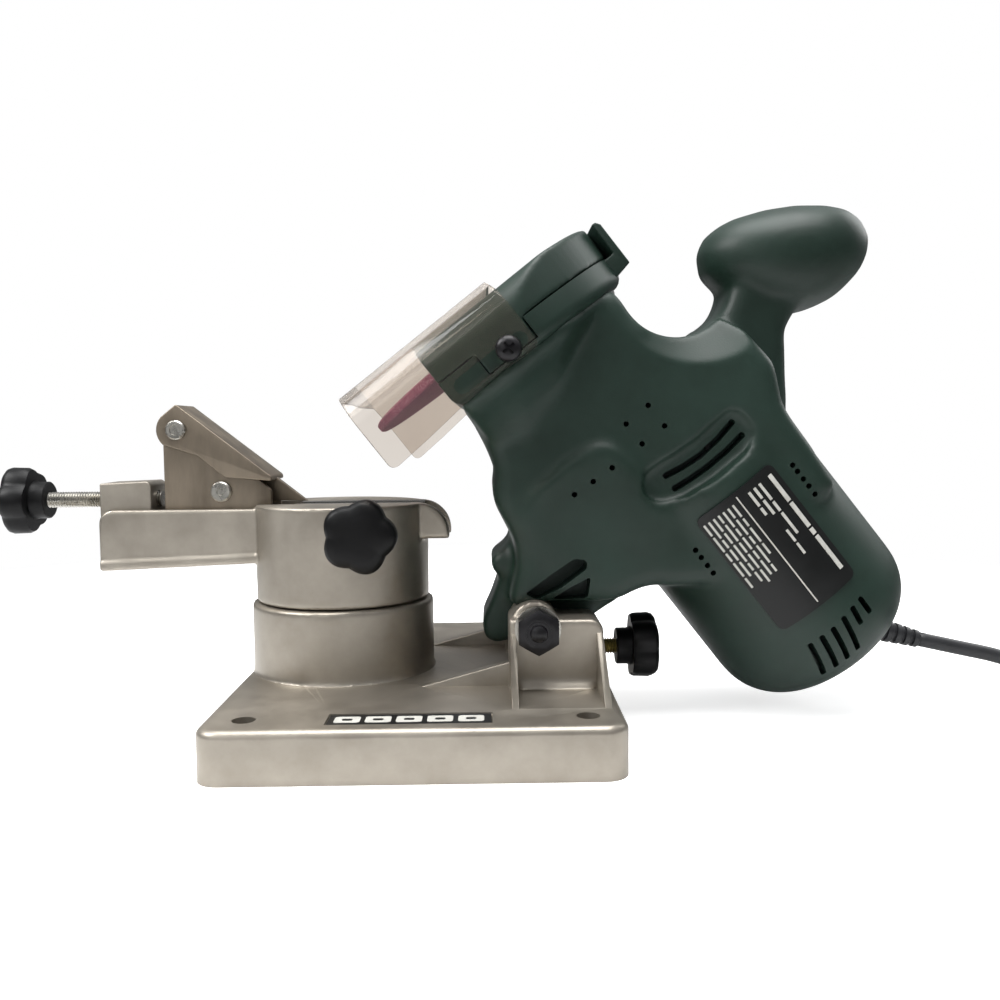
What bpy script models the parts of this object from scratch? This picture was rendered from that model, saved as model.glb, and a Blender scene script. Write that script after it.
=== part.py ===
"""Electric chainsaw sharpener: a die-cast base with a swivelling chain vise, and a motor head that tilts down to it."""

import math

import bmesh
import bpy
from mathutils import Matrix, Vector

MM = 0.001
PART_NAME = "electric_chainsaw_sharpener"

# Clearances and roundness shared by every piece
GAP = 0.3 * MM
OVERRUN = 2 * MM
ROUND_SIDES = 32
SMALL_SIDES = 16

# Base plate
BASE_WIDTH = 132 * MM
BASE_DEPTH = 168 * MM
BASE_HEIGHT = 17 * MM
BASE_CORNER = 8 * MM
BASE_EDGE = 2.5 * MM
BASE_WALL = 4 * MM
FOOT_HOLE_RADIUS = 3.75 * MM
FOOT_BOSS_RADIUS = 9 * MM
FOOT_HOLE_INSET_X = 12 * MM
FOOT_HOLE_INSET_Y = 10 * MM
CROSS_RIB = 4 * MM
LABEL_WIDTH = 52 * MM
LABEL_DEPTH = 11.5 * MM
LABEL_OFFSET_X = -2 * MM
LABEL_INSET = 3.8 * MM
LABEL_RECESS = 0.9 * MM
LABEL_THICKNESS = 0.5 * MM

# Swivel drum and vise table
SWIVEL_X = -32.5 * MM
DRUM_RADIUS = 34.3 * MM
DRUM_TOP = 43.5 * MM
DRUM_WALL = 4.5 * MM
TABLE_RADIUS = 32.5 * MM
TABLE_TOP = 80 * MM
TABLE_WALL = 5.5 * MM
TABLE_CAVITY_TOP = 58 * MM
SWIVEL_BOSS_RADIUS = 9 * MM
SWIVEL_BOLT_RADIUS = 4 * MM
SWIVEL_BOLT_DEPTH = 11 * MM
SWIVEL_WASHER_RADIUS = 12 * MM
SWIVEL_WASHER_THICKNESS = 2 * MM
SWIVEL_HEAD_RADIUS = 7.5 * MM
SWIVEL_HEAD_HEIGHT = 5.3 * MM

# Chain slot, jaws and the rail beside them
SLOT_HALF = 8 * MM
SLOT_FLOOR = 66 * MM
JAW_START_X = -48.5 * MM
JAW_END_X = -1 * MM
JAW_THICKNESS = 4 * MM
REAR_JAW_THICKNESS = 5.7 * MM
RAIL_HALF = 12.5 * MM
RAIL_START_X = -121 * MM
RAIL_TOP = 78.5 * MM
RAIL_END_FOOT = 56 * MM
RAIL_DRUM_FOOT = 59.5 * MM
RAIL_CORNER = 5 * MM
CHANNEL_HALF = 9.5 * MM
CHANNEL_FLOOR = 62 * MM
CHANNEL_END_X = -49 * MM
LIP_END_X = 8.6 * MM
LIP_FOOT = 66.8 * MM
LIP_ROUND = 11.5 * MM

# Lobed knobs and their screws
KNOB_RADIUS = 13.5 * MM
KNOB_LOBE_SHARE = 0.1
KNOB_LOBES = 5
KNOB_WHEEL = 11.5 * MM
KNOB_HUB = 6 * MM
KNOB_HUB_RADIUS = 7 * MM
KNOB_EDGE = 1.5 * MM
KNOB_BORE_DEPTH = 10 * MM
CLAMP_SCREW_RADIUS = 4 * MM
CLAMP_X = -20.2 * MM
CLAMP_Z = 71.4 * MM
CLAMP_TRAVEL = 4 * MM
STOP_SCREW_RADIUS = 3 * MM
STOP_SCREW_Z = 82 * MM
STOP_SCREW_TIP_X = -100.8 * MM
STOP_KNOB_X = -143.5 * MM
STOP_BLOCK_LENGTH = 19 * MM
STOP_BLOCK_TOP = 89 * MM
DEPTH_SCREW_Z = 23 * MM
DEPTH_SCREW_TIP_X = 56.1 * MM
DEPTH_KNOB_X = 72 * MM

# Sliding stop carriage with its tooth stop
CARRIAGE_START_X = -97.2 * MM
CARRIAGE_END_X = -57.5 * MM
CARRIAGE_FLOOR = 8 * MM
CARRIAGE_PLATE = 2 * MM
CARRIAGE_END_TOP = 85.5 * MM
CARRIAGE_EAR_RADIUS = 5.6 * MM
PIN_X = -91.6 * MM
PIN_Z = 108 * MM
PIN_RADIUS = 2.2 * MM
PIN_HEAD_RADIUS = 3.6 * MM
PIN_HEAD_HEIGHT = 1.5 * MM
PAWL_SHEET = 1.5 * MM
PAWL_APEX_RISE = 9.5 * MM
PAWL_END_X = -57 * MM
PAWL_END_Z = 90.5 * MM
PAWL_SKIRT = 7.5 * MM
PAWL_TIP_X = -45.4 * MM
PAWL_TIP_Z = 80.7 * MM
PAWL_BLADE_HALF = 1.6 * MM
CARRIAGE_SCREW_X = -76 * MM
CARRIAGE_SCREW_Z = 85 * MM
CARRIAGE_SCREW_RADIUS = 2 * MM
CARRIAGE_SCREW_HEAD = 3.8 * MM

# Hinge bracket
PIVOT_X = 40 * MM
PIVOT_Z = 38 * MM
TOWER_START_X = 30 * MM
TOWER_END_X = 63 * MM
TOWER_TOP = 41 * MM
TOWER_INNER = 17.5 * MM
TOWER_OUTER = 40 * MM
TOWER_CORNER = 5 * MM
TOWER_WALL = 4 * MM
TOWER_CAVITY_TOP = 27 * MM
HINGE_BOSS_RADIUS = 9.5 * MM
RIB_THICKNESS = 3 * MM
RIB_TOP = 36 * MM
RIB_REACH = 65 * MM
STOP_WALL_THICKNESS = 5 * MM
STOP_WALL_TOP = 34 * MM
WEB_HEIGHT = 3 * MM
WEB_RISE = 8 * MM
WEB_THICKNESS = 4 * MM
HINGE_BOLT_RADIUS = 4 * MM
HINGE_WASHER_RADIUS = 8 * MM
HINGE_WASHER_THICKNESS = 1.6 * MM
HINGE_NUT_RADIUS = 7.5 * MM
HINGE_NUT_HEIGHT = 6.5 * MM
HINGE_HEAD_HEIGHT = 5.3 * MM
SLEEVE_WALL = 1.2 * MM

# Motor head, in its own frame: u runs along the wheel, w runs up the motor axis, both from the hinge
HEAD_TILT = 38
MOTOR_U = 82.4 * MM
MOTOR_RADIUS = 38.8 * MM
MOTOR_WALL = 3.5 * MM
MOTOR_END_W = -92 * MM
MOTOR_END_ROUND = 14 * MM
MOTOR_SHOULDER_W = 5 * MM
MOTOR_SHOULDER_LENGTH = 22 * MM
MOTOR_BORE_TOP_W = 38 * MM
FAN_BORE = 30.5 * MM
SPINDLE_U = 47.5 * MM
WHEEL_W = 90 * MM
BODY_HALF = 34 * MM
BODY_EDGE = 2.6 * MM
FINGER_U = 114.5 * MM
FINGER_W = 65 * MM
FINGER_RADIUS = 20.8 * MM
KNUCKLE_RADIUS = 19 * MM
NOTCH_X = 6 * MM
NOTCH_DROP = 3.6 * MM
NECK_HALF = 17 * MM
NECK_EDGE = 6 * MM
SHELL = 2.8 * MM
HANDLE_U = 155.1 * MM
HANDLE_W = 43.6 * MM
HANDLE_LENGTH = 65 * MM
HANDLE_THICKNESS = 38 * MM
HANDLE_BREADTH = 50 * MM
HANDLE_DROP = 31

# Outline tables are shares of the head's span from hinge to motor side, and of the wheel plane's height
BODY_OUTLINE_SHARES = [
    (0.215, 0.838), (0.215, 0.600), (0.173, 0.567), (0.136, 0.467), (0.114, 0.300),
    (0.087, 0.100), (0.170, -0.094), (0.256, -0.183), (0.363, -0.244), (0.495, -0.333),
    (0.866, -0.333), (0.982, -0.222), (0.998, 0.000), (1.023, 0.067), (1.056, 0.156),
    (1.015, 0.400),
]
NECK_OUTLINE_SHARES = [
    (0.900, 0.462), (0.900, 0.060), (0.980, 0.020), (1.019, 0.078), (1.085, 0.197),
    (1.139, 0.289), (1.205, 0.378), (1.238, 0.556), (1.139, 0.578), (1.081, 0.544),
    (1.040, 0.500), (0.986, 0.476),
]
NECK_CAVITY_SHARES = [
    (0.940, 0.420), (0.940, 0.170), (1.000, 0.105), (1.060, 0.215), (1.115, 0.320),
    (1.165, 0.420), (1.160, 0.500), (1.100, 0.510), (1.050, 0.450), (0.985, 0.440),
]
ARM_OUTLINE_SHARES = [
    (-0.100, 0.140), (0.000, 0.225), (0.120, 0.290), (0.250, 0.200), (0.310, -0.150),
    (0.262, -0.180), (0.099, -0.146), (0.000, 0.000),
]

# Wheel case, lid and guard
WHEEL_RADIUS = 50 * MM
WHEEL_THICKNESS = 3.2 * MM
WHEEL_BORE = 5 * MM
CASE_START_U = 26 * MM
CASE_RADIUS = 56 * MM
CASE_HALF = 54 * MM
CASE_DEPTH = 10.3 * MM
CASE_FLOOR = 8.5 * MM
CASE_FLARE_HALF = 46 * MM
CASE_FLARE_DEPTH = 13.4 * MM
CHAMBER_CLEARANCE = 1.8 * MM
CHAMBER_SHOULDER = 4 * MM
LID_HEIGHT = 14 * MM
LID_ROOF = 2.5 * MM
LID_EDGE = 7 * MM
LID_TAB_LENGTH = 20 * MM
LID_TAB_DROP = 8 * MM
LID_TAB_THICKNESS = 3 * MM
RIM_THICKNESS = 3.4 * MM
RIM_HALF = 20 * MM
RIM_HEIGHT = 13 * MM
GUARD_SHEET = 2 * MM
GUARD_START_U = -3.2 * MM
GUARD_END_U = 60 * MM
GUARD_LOW_W = 74.5 * MM
GUARD_FOLD_W = 95.5 * MM
GUARD_TOP_W = 103.5 * MM
GUARD_FOLD_IN = 7.5 * MM
GUARD_STEP_U = 26 * MM
GUARD_STEP = 1.8 * MM
GUARD_SLOT_START_U = 29 * MM
GUARD_SLOT_END_U = 58.8 * MM
GUARD_SCREW_U = 51 * MM
GUARD_SCREW_W = 80.8 * MM
GUARD_SCREW_RADIUS = 2.5 * MM
GUARD_SCREW_HEAD = 4.3 * MM
GUARD_SCREW_HEAD_HEIGHT = 3 * MM
GUARD_SCREW_DEPTH = 7 * MM

# Drive
SHAFT_RADIUS = 3.7 * MM
BEARING_RADIUS = 11 * MM
BEARING_BORE = 4 * MM
BEARING_WIDTH = 7 * MM
SHAFT_HOLE = 5.5 * MM
DRIVE_LOW_W = 54 * MM
DRIVE_HEIGHT = 20 * MM
DRIVE_LARGE_SPACE = 18.5 * MM
DRIVE_SMALL_SPACE = 9 * MM
LARGE_PULLEY_RADIUS = 15 * MM
SMALL_PULLEY_RADIUS = 6.5 * MM
PULLEY_WIDTH = 11 * MM
BELT_WIDTH = 9 * MM
BELT_THICKNESS = 1.2 * MM
FLANGE_RADIUS = 14 * MM
INNER_FLANGE_THICKNESS = 3.9 * MM
OUTER_FLANGE_THICKNESS = 1.6 * MM
WHEEL_NUT_RADIUS = 7.5 * MM
WHEEL_NUT_HEIGHT = 2.6 * MM
SPINDLE_SEAT_RADIUS = 4.7 * MM
STATOR_BORE = 22.6 * MM
STATOR_LOW_W = -40 * MM
STATOR_LENGTH = 38 * MM
ARMATURE_RADIUS = 22 * MM
COMMUTATOR_RADIUS = 11 * MM
COMMUTATOR_LOW_W = -64 * MM
COMMUTATOR_LENGTH = 12 * MM
BRUSH_WIDTH = 8 * MM
FAN_RADIUS = 28.5 * MM
FAN_LOW_W = 8 * MM
FAN_DISC = 2 * MM
FAN_BLADE_HEIGHT = 12 * MM
FAN_BLADE_THICKNESS = 1.6 * MM
FAN_HUB_RADIUS = 9 * MM
FAN_BLADES = 9
REAR_BEARING_W = -84 * MM
REAR_BOSS_RADIUS = 14.5 * MM

# Rating plate, switch and screws on the head
PLATE_WIDTH = 30.6 * MM
PLATE_LENGTH = 47 * MM
PLATE_TOP_W = -5.3 * MM
PLATE_THICKNESS = 0.6 * MM
SWITCH_U = 68 * MM
SWITCH_W = 45.5 * MM
SWITCH_WIDTH = 15 * MM
SWITCH_LENGTH = 10 * MM
SWITCH_DEPTH = 9 * MM
ROCKER_WIDTH = 12 * MM
ROCKER_LENGTH = 8 * MM
ROCKER_RISE = 2.4 * MM
ROCKER_LIFT = 1.2 * MM
HOUSING_SCREW_RADIUS = 2 * MM
HOUSING_SCREW_HEAD = 3.8 * MM
HOUSING_SCREW_HEAD_HEIGHT = 2.6 * MM
HOUSING_SCREW_REACH = 14 * MM
HANDLE_BOSS_RADIUS = 5 * MM
SCREW_PLACE_SHARES = {
    "housing_screw_spindle": (0.270, 0.480),
    "housing_screw_side": (0.190, 0.230),
    "housing_screw_hinge": (0.270, -0.050),
}

# Cord
CORD_RADIUS = 2.8 * MM
RELIEF_RADIUS = 4.7 * MM
RELIEF_START = (166 * MM, 0, 30.4 * MM)
RELIEF_END = (187.5 * MM, 0, 24.6 * MM)
CORD_ROUTE = [
    (188.2 * MM, 0, 24.4 * MM),
    (205 * MM, 0, 20.6 * MM),
    (222 * MM, 0, 16.6 * MM),
    (238 * MM, -2 * MM, 10.6 * MM),
    (256 * MM, -5 * MM, 4.6 * MM),
    (274 * MM, -9 * MM, 2.8 * MM),
    (294 * MM, -12.2 * MM, 2.8 * MM),
]
CORD_STEP = 6.5 * MM
COIL_CENTRE_X = 300 * MM
COIL_CENTRE_Y = 33.8 * MM
COIL_OUTER_RADIUS = 46 * MM
COIL_PITCH = 6.2 * MM
COIL_LAYER = 6.2 * MM
COIL_LOOP_COUNT = 4
COIL_POINTS = 24
COIL_TAIL = 43 * MM
PLUG_LENGTH = 34 * MM
PLUG_WIDTH = 33 * MM
PLUG_HEIGHT = 17.4 * MM
PLUG_ROUND = 6 * MM
PIN_LENGTH = 19 * MM
PLUG_PIN_RADIUS = 2.4 * MM
PLUG_PIN_SPACING = 19 * MM

# Colour, roughness and metallic value of each finish
FINISHES = {
    "cast": ((0.42, 0.40, 0.36, 1), 0.45, 0.9),
    "sheet": ((0.34, 0.32, 0.29, 1), 0.4, 0.9),
    "steel": ((0.5, 0.5, 0.5, 1), 0.3, 1.0),
    "green": ((0.025, 0.055, 0.05, 1), 0.55, 0.0),
    "black": ((0.01, 0.01, 0.01, 1), 0.5, 0.0),
    "wheel": ((0.35, 0.12, 0.18, 1), 0.9, 0.0),
    "clear": ((0.8, 0.78, 0.74, 0.4), 0.1, 0.0),
    "copper": ((0.5, 0.2, 0.08, 1), 0.35, 1.0),
    "white": ((0.8, 0.8, 0.78, 1), 0.5, 0.0),
}


def clear_scene():
    for item in list(bpy.data.objects):
        bpy.data.objects.remove(item, do_unlink=True)


def collection(name):
    made = bpy.data.collections.new(name)
    bpy.context.scene.collection.children.link(made)
    return made


clear_scene()
PIECES = collection(PART_NAME)
TOOLS = collection("cutters")


def empty(name):
    made = bpy.data.objects.new(name, None)
    PIECES.objects.link(made)
    return made


def head_matrix():
    """From the head's own frame to the part's: the head leans back about the hinge."""
    return Matrix.Translation((PIVOT_X, 0, PIVOT_Z)) @ Matrix.Rotation(-math.radians(HEAD_TILT), 4, "Y")


def into_head(item):
    """Moves a shape made in the part's frame into the head's frame."""
    item.data.transform(head_matrix().inverted())
    return item


def shape(name, bm, parent=None):
    """A loose shape: a piece once it is finished, or a cutter."""
    mesh = bpy.data.meshes.new(name)
    bmesh.ops.recalc_face_normals(bm, faces=bm.faces)
    bm.to_mesh(mesh)
    bm.free()
    made = bpy.data.objects.new(name, mesh)
    TOOLS.objects.link(made)
    made.hide_render = True
    made.display_type = "WIRE"
    if parent:
        made.parent = parent
    return made


def finish(item, look, parent=None):
    """Turns a shape into a piece of the part with its own material."""
    colour, roughness, metallic = FINISHES[look]
    material = bpy.data.materials.new(item.name)
    material.use_nodes = True
    shader = material.node_tree.nodes["Principled BSDF"]
    shader.inputs["Base Color"].default_value = colour
    shader.inputs["Roughness"].default_value = roughness
    shader.inputs["Metallic"].default_value = metallic
    shader.inputs["Alpha"].default_value = colour[3]
    item.data.materials.clear()
    item.data.materials.append(material)
    TOOLS.objects.unlink(item)
    PIECES.objects.link(item)
    item.hide_render = False
    item.display_type = "TEXTURED"
    if parent:
        item.parent = parent
    item.data.shade_smooth()
    item.data.set_sharp_from_angle(angle=math.radians(35))
    return item


def cut(target, *cutters, mode="DIFFERENCE"):
    """Takes the cutters off a shape. The exact solver leaves torn edges on the housing and its lid."""
    for cutter in cutters:
        step = target.modifiers.new(cutter.name, "BOOLEAN")
        step.operation = mode
        step.solver = "MANIFOLD" if target.name.startswith(("housing_", "wheel_lid")) else "EXACT"
        step.object = cutter
    return target


def join(target, *others):
    return cut(target, *others, mode="UNION")


def settle(item):
    """Replaces an object's mesh with its evaluated one, so that it can be copied or cut again."""
    bpy.context.view_layer.update()
    graph = bpy.context.evaluated_depsgraph_get()
    mesh = bpy.data.meshes.new_from_object(item.evaluated_get(graph))
    item.modifiers.clear()
    item.data = mesh
    return item


def soften(item, width, segments=2, angle=40):
    bevel = item.modifiers.new("edges", "BEVEL")
    bevel.width = width
    bevel.segments = segments
    bevel.limit_method = "ANGLE"
    bevel.angle_limit = math.radians(angle)
    return item


def block(name, x, y, z, parent=None):
    size = Vector((x[1] - x[0], y[1] - y[0], z[1] - z[0]))
    centre = Vector((x[0] + x[1], y[0] + y[1], z[0] + z[1])) / 2
    bm = bmesh.new()
    bmesh.ops.create_cube(bm, size=1, matrix=Matrix.Translation(centre) @ Matrix.Diagonal(size).to_4x4())
    return shape(name, bm, parent)


def axis_matrix(axis):
    """Turns +Z onto the named axis."""
    if axis == "X":
        return Matrix.Rotation(math.pi / 2, 4, "Y")
    if axis == "Y":
        return Matrix.Rotation(-math.pi / 2, 4, "X")
    return Matrix.Identity(4)


def rod(name, axis, place, radius, start, end, sides=ROUND_SIDES, end_radius=None, parent=None):
    """A round bar along an axis; place gives the two other coordinates in X, Y, Z order."""
    middle = (start + end) / 2
    spot = {"X": (middle, *place), "Y": (place[0], middle, place[1]), "Z": (*place, middle)}[axis]
    bm = bmesh.new()
    bmesh.ops.create_cone(
        bm,
        cap_ends=True,
        segments=sides,
        radius1=radius,
        radius2=radius if end_radius is None else end_radius,
        depth=end - start,
        matrix=Matrix.Translation(spot) @ axis_matrix(axis),
    )
    return shape(name, bm, parent)


def slab(name, outline, axis, start, end, parent=None):
    """A flat outline with a thickness. The outline is (x, z) for Y, (x, y) for Z and (y, z) for X."""
    flat = bpy.data.curves.new(name, "CURVE")
    flat.dimensions = "2D"
    flat.fill_mode = "BOTH"
    flat.extrude = (end - start) / 2
    line = flat.splines.new("POLY")
    line.points.add(len(outline) - 1)
    for point, (a, b) in zip(line.points, outline):
        point.co = (a, b, 0, 1)
    line.use_cyclic_u = True
    item = bpy.data.objects.new(name, flat)
    TOOLS.objects.link(item)
    bpy.context.view_layer.update()
    mesh = bpy.data.meshes.new_from_object(item.evaluated_get(bpy.context.evaluated_depsgraph_get()))
    bpy.data.objects.remove(item, do_unlink=True)
    middle = (start + end) / 2
    turn = {
        "X": Matrix(((0, 0, 1, middle), (1, 0, 0, 0), (0, 1, 0, 0), (0, 0, 0, 1))),
        "Y": Matrix(((1, 0, 0, 0), (0, 0, -1, middle), (0, 1, 0, 0), (0, 0, 0, 1))),
        "Z": Matrix(((1, 0, 0, 0), (0, 1, 0, 0), (0, 0, 1, middle), (0, 0, 0, 1))),
    }[axis]
    bm = bmesh.new()
    bm.from_mesh(mesh)
    bmesh.ops.remove_doubles(bm, verts=bm.verts, dist=MM / 100)
    bmesh.ops.transform(bm, matrix=turn, verts=bm.verts)
    return shape(name, bm, parent)


def turned(name, profile, place, axis="Z", parent=None):
    """A turned shape: (radius, height) pairs from top to bottom, spun by a Screw modifier about an axis."""
    bm = bmesh.new()
    points = [bm.verts.new((radius, 0, height)) for radius, height in profile]
    for first, second in zip(points, points[1:]):
        bm.edges.new((first, second))
    mesh = bpy.data.meshes.new(name)
    bm.to_mesh(mesh)
    bm.free()
    made = bpy.data.objects.new(name, mesh)
    TOOLS.objects.link(made)
    screw = made.modifiers.new("turn", "SCREW")
    screw.steps = ROUND_SIDES
    screw.render_steps = ROUND_SIDES
    screw.use_merge_vertices = True
    screw.merge_threshold = MM / 100
    settle(made)
    made.data.transform(Matrix.Translation(place) @ axis_matrix(axis))
    made.hide_render = True
    made.display_type = "WIRE"
    made.parent = parent
    return made


def arc(centre, radius, start, end, count):
    """Points on a circle from one angle to another, in degrees, both ends included."""
    step = (end - start) / (count - 1)
    angles = [math.radians(start + i * step) for i in range(count)]
    return [(centre[0] + radius * math.cos(a), centre[1] + radius * math.sin(a)) for a in angles]


def base_casting():
    half_x, half_y = BASE_WIDTH / 2, BASE_DEPTH / 2
    corner = BASE_CORNER
    outline = []
    for sx, sy, start in ((1, 1, 0), (-1, 1, 90), (-1, -1, 180), (1, -1, 270)):
        outline += arc((sx * (half_x - corner), sy * (half_y - corner)), corner, start, start + 90, 5)
    body = slab("base_casting", outline, "Z", 0, BASE_HEIGHT)
    soften(body, BASE_EDGE, 2, 60)
    settle(body)
    sink = BASE_HEIGHT - BASE_WALL
    join(body, rod("drum", "Z", (SWIVEL_X, 0), DRUM_RADIUS, sink, DRUM_TOP, 48))
    for side in (-1, 1):
        join(body, *bracket_side(side, sink))
    wall_start = TOWER_END_X - STOP_WALL_THICKNESS
    span = (-TOWER_INNER - OVERRUN, TOWER_INNER + OVERRUN)
    join(body, block("stop_wall", (wall_start, TOWER_END_X), span, (sink, STOP_WALL_TOP)))
    web = [
        (SWIVEL_X, sink),
        (TOWER_START_X + OVERRUN, sink),
        (TOWER_START_X + OVERRUN, BASE_HEIGHT + WEB_RISE),
        (SWIVEL_X + DRUM_RADIUS * 0.9, BASE_HEIGHT + WEB_HEIGHT),
        (SWIVEL_X, BASE_HEIGHT + WEB_HEIGHT),
    ]
    web_back = -TOWER_OUTER + 2 * WEB_THICKNESS
    join(body, slab("web", web, "Y", -TOWER_OUTER + WEB_THICKNESS, web_back))
    hollow = (half_x - BASE_WALL, half_y - BASE_WALL)
    cut(body, block("hollow", (-hollow[0], hollow[0]), (-hollow[1], hollow[1]), (-OVERRUN, sink)))
    cut(body, rod("drum_bore", "Z", (SWIVEL_X, 0), DRUM_RADIUS - DRUM_WALL, -OVERRUN, DRUM_TOP - DRUM_WALL, 48))
    for side in (-1, 1):
        inner, outer = sorted((side * (TOWER_INNER + TOWER_WALL), side * (TOWER_OUTER - TOWER_WALL)))
        bay = (TOWER_START_X + TOWER_WALL, TOWER_END_X - TOWER_WALL)
        cut(body, block("tower_bay", bay, (inner, outer), (sink - OVERRUN, TOWER_CAVITY_TOP)))
    rib = (-CROSS_RIB / 2, CROSS_RIB / 2)
    join(body, block("cross_rib", rib, (-hollow[1] - GAP, hollow[1] + GAP), (0, sink + GAP)))
    for sx in (-1, 1):
        for sy in (-1, 1):
            spot = (sx * (half_x - FOOT_HOLE_INSET_X), sy * (half_y - FOOT_HOLE_INSET_Y))
            join(body, rod("foot_boss", "Z", spot, FOOT_BOSS_RADIUS, 0, sink + BASE_WALL / 2, SMALL_SIDES))
            cut(body, rod("foot_hole", "Z", spot, FOOT_HOLE_RADIUS, -OVERRUN, BASE_HEIGHT + OVERRUN, SMALL_SIDES))
    bolt_hole = SWIVEL_BOLT_RADIUS + GAP
    cut(body, rod("swivel_hole", "Z", (SWIVEL_X, 0), bolt_hole, sink, DRUM_TOP + OVERRUN, SMALL_SIDES))
    reach = TOWER_OUTER + OVERRUN
    cut(body, rod("hinge_hole", "Y", (PIVOT_X, PIVOT_Z), HINGE_BOLT_RADIUS + GAP, -reach, reach, SMALL_SIDES))
    screw_hole = STOP_SCREW_RADIUS + GAP
    through = (wall_start - OVERRUN, TOWER_END_X + OVERRUN)
    cut(body, rod("depth_hole", "X", (0, DEPTH_SCREW_Z), screw_hole, *through, SMALL_SIDES))
    label_x, label_y = label_extent(0)
    cut(body, block("label_recess", label_x, label_y, (BASE_HEIGHT - LABEL_RECESS, BASE_HEIGHT + OVERRUN)))
    return finish(body, "cast")


def bracket_side(side, sink):
    """One hinge tower with its two ribs, on the front side for -1 and the rear side for 1."""
    near, far = sorted((side * TOWER_INNER, side * TOWER_OUTER))
    top = [(TOWER_START_X, sink), (TOWER_END_X, sink)]
    top += arc((TOWER_END_X - TOWER_CORNER, TOWER_TOP - TOWER_CORNER), TOWER_CORNER, 0, 90, 5)
    top += [(TOWER_START_X, TOWER_TOP)]
    tower = slab("tower", top, "Y", near, far)
    boss = rod("hinge_boss", "Y", (PIVOT_X, PIVOT_Z), HINGE_BOSS_RADIUS, near, far)
    shapes = [tower, boss]
    inside = TOWER_OUTER - TOWER_WALL
    rib = [(side * inside, sink), (side * RIB_REACH, sink), (side * RIB_REACH, BASE_HEIGHT), (side * inside, RIB_TOP)]
    for start in (TOWER_START_X, TOWER_END_X - RIB_THICKNESS):
        shapes.append(slab("rib", rib, "X", start, start + RIB_THICKNESS))
    return shapes


def label_extent(inset):
    """The label's place on the base, drawn in from its recess."""
    front = -BASE_DEPTH / 2 + LABEL_INSET
    x = (LABEL_OFFSET_X - LABEL_WIDTH / 2 + inset, LABEL_OFFSET_X + LABEL_WIDTH / 2 - inset)
    return x, (front + inset, front + LABEL_DEPTH - inset)


def base_label():
    x, y = label_extent(GAP)
    bottom = BASE_HEIGHT - LABEL_RECESS + GAP
    finish(block("base_label", x, y, (bottom, bottom + LABEL_THICKNESS)), "black")


def hex_bolt(name, axis, place, radius, tip, shoulder, head_radius, head_height, look, parent=None):
    """A hexagon-headed bolt: its shank runs from the tip to the shoulder, and the head goes on from there."""
    away = 1 if shoulder > tip else -1
    sink = shoulder - away * head_height / 4
    shank_span = sorted((tip, shoulder))
    head_span = sorted((shoulder, shoulder + away * head_height))
    bolt = rod(name, axis, place, head_radius, *head_span, 6, parent=parent)
    shank_end = shoulder + away * head_height / 2
    shank_span = sorted((tip, shank_end))
    join(bolt, rod(name + "_shank", axis, place, radius, *shank_span, SMALL_SIDES, parent=parent))
    return finish(bolt, look), sink


def ring(name, axis, place, outer, inner, start, end, look, sides=ROUND_SIDES, parent=None):
    made = rod(name, axis, place, outer, start, end, sides, parent=parent)
    hole = rod(name + "_hole", axis, place, inner, start - OVERRUN, end + OVERRUN, sides if sides > 6 else SMALL_SIDES)
    hole.parent = parent
    return finish(cut(made, hole), look)


def hinge():
    """The bolt that carries the head, with its lock nut, two washers and the sleeve in the head's knuckle."""
    place = (PIVOT_X, PIVOT_Z)
    washer_start = TOWER_OUTER + GAP
    washer_end = washer_start + HINGE_WASHER_THICKNESS
    hole = HINGE_BOLT_RADIUS + GAP
    seat = washer_end + GAP
    hex_bolt(
        "hinge_bolt", "Y", place, HINGE_BOLT_RADIUS, -seat - HINGE_NUT_HEIGHT - 2 * GAP, seat,
        HINGE_NUT_RADIUS, HINGE_HEAD_HEIGHT, "steel",
    )
    ring("hinge_nut", "Y", place, HINGE_NUT_RADIUS, hole, -seat - HINGE_NUT_HEIGHT, -seat, "black", 6)
    ring("hinge_washer_front", "Y", place, HINGE_WASHER_RADIUS, hole, -washer_end, -washer_start, "steel")
    ring("hinge_washer_rear", "Y", place, HINGE_WASHER_RADIUS, hole, washer_start, washer_end, "steel")
    half = TOWER_INNER - 2 * GAP
    ring("hinge_sleeve", "Y", place, hole + SLEEVE_WALL, hole, -half, half, "steel", SMALL_SIDES)


def swivel():
    """The bolt and washer that hold the vise table down on the drum."""
    place = (SWIVEL_X, 0)
    roof = DRUM_TOP - DRUM_WALL
    washer_top = roof - GAP
    seat = washer_top - SWIVEL_WASHER_THICKNESS - GAP
    hole = SWIVEL_BOLT_RADIUS + GAP
    ring(
        "swivel_washer", "Z", place, SWIVEL_WASHER_RADIUS, hole, washer_top - SWIVEL_WASHER_THICKNESS,
        washer_top, "steel",
    )
    tip = DRUM_TOP + GAP + SWIVEL_BOLT_DEPTH - GAP
    hex_bolt(
        "swivel_bolt", "Z", place, SWIVEL_BOLT_RADIUS, tip, seat, SWIVEL_HEAD_RADIUS, SWIVEL_HEAD_HEIGHT, "steel"
    )


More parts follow.
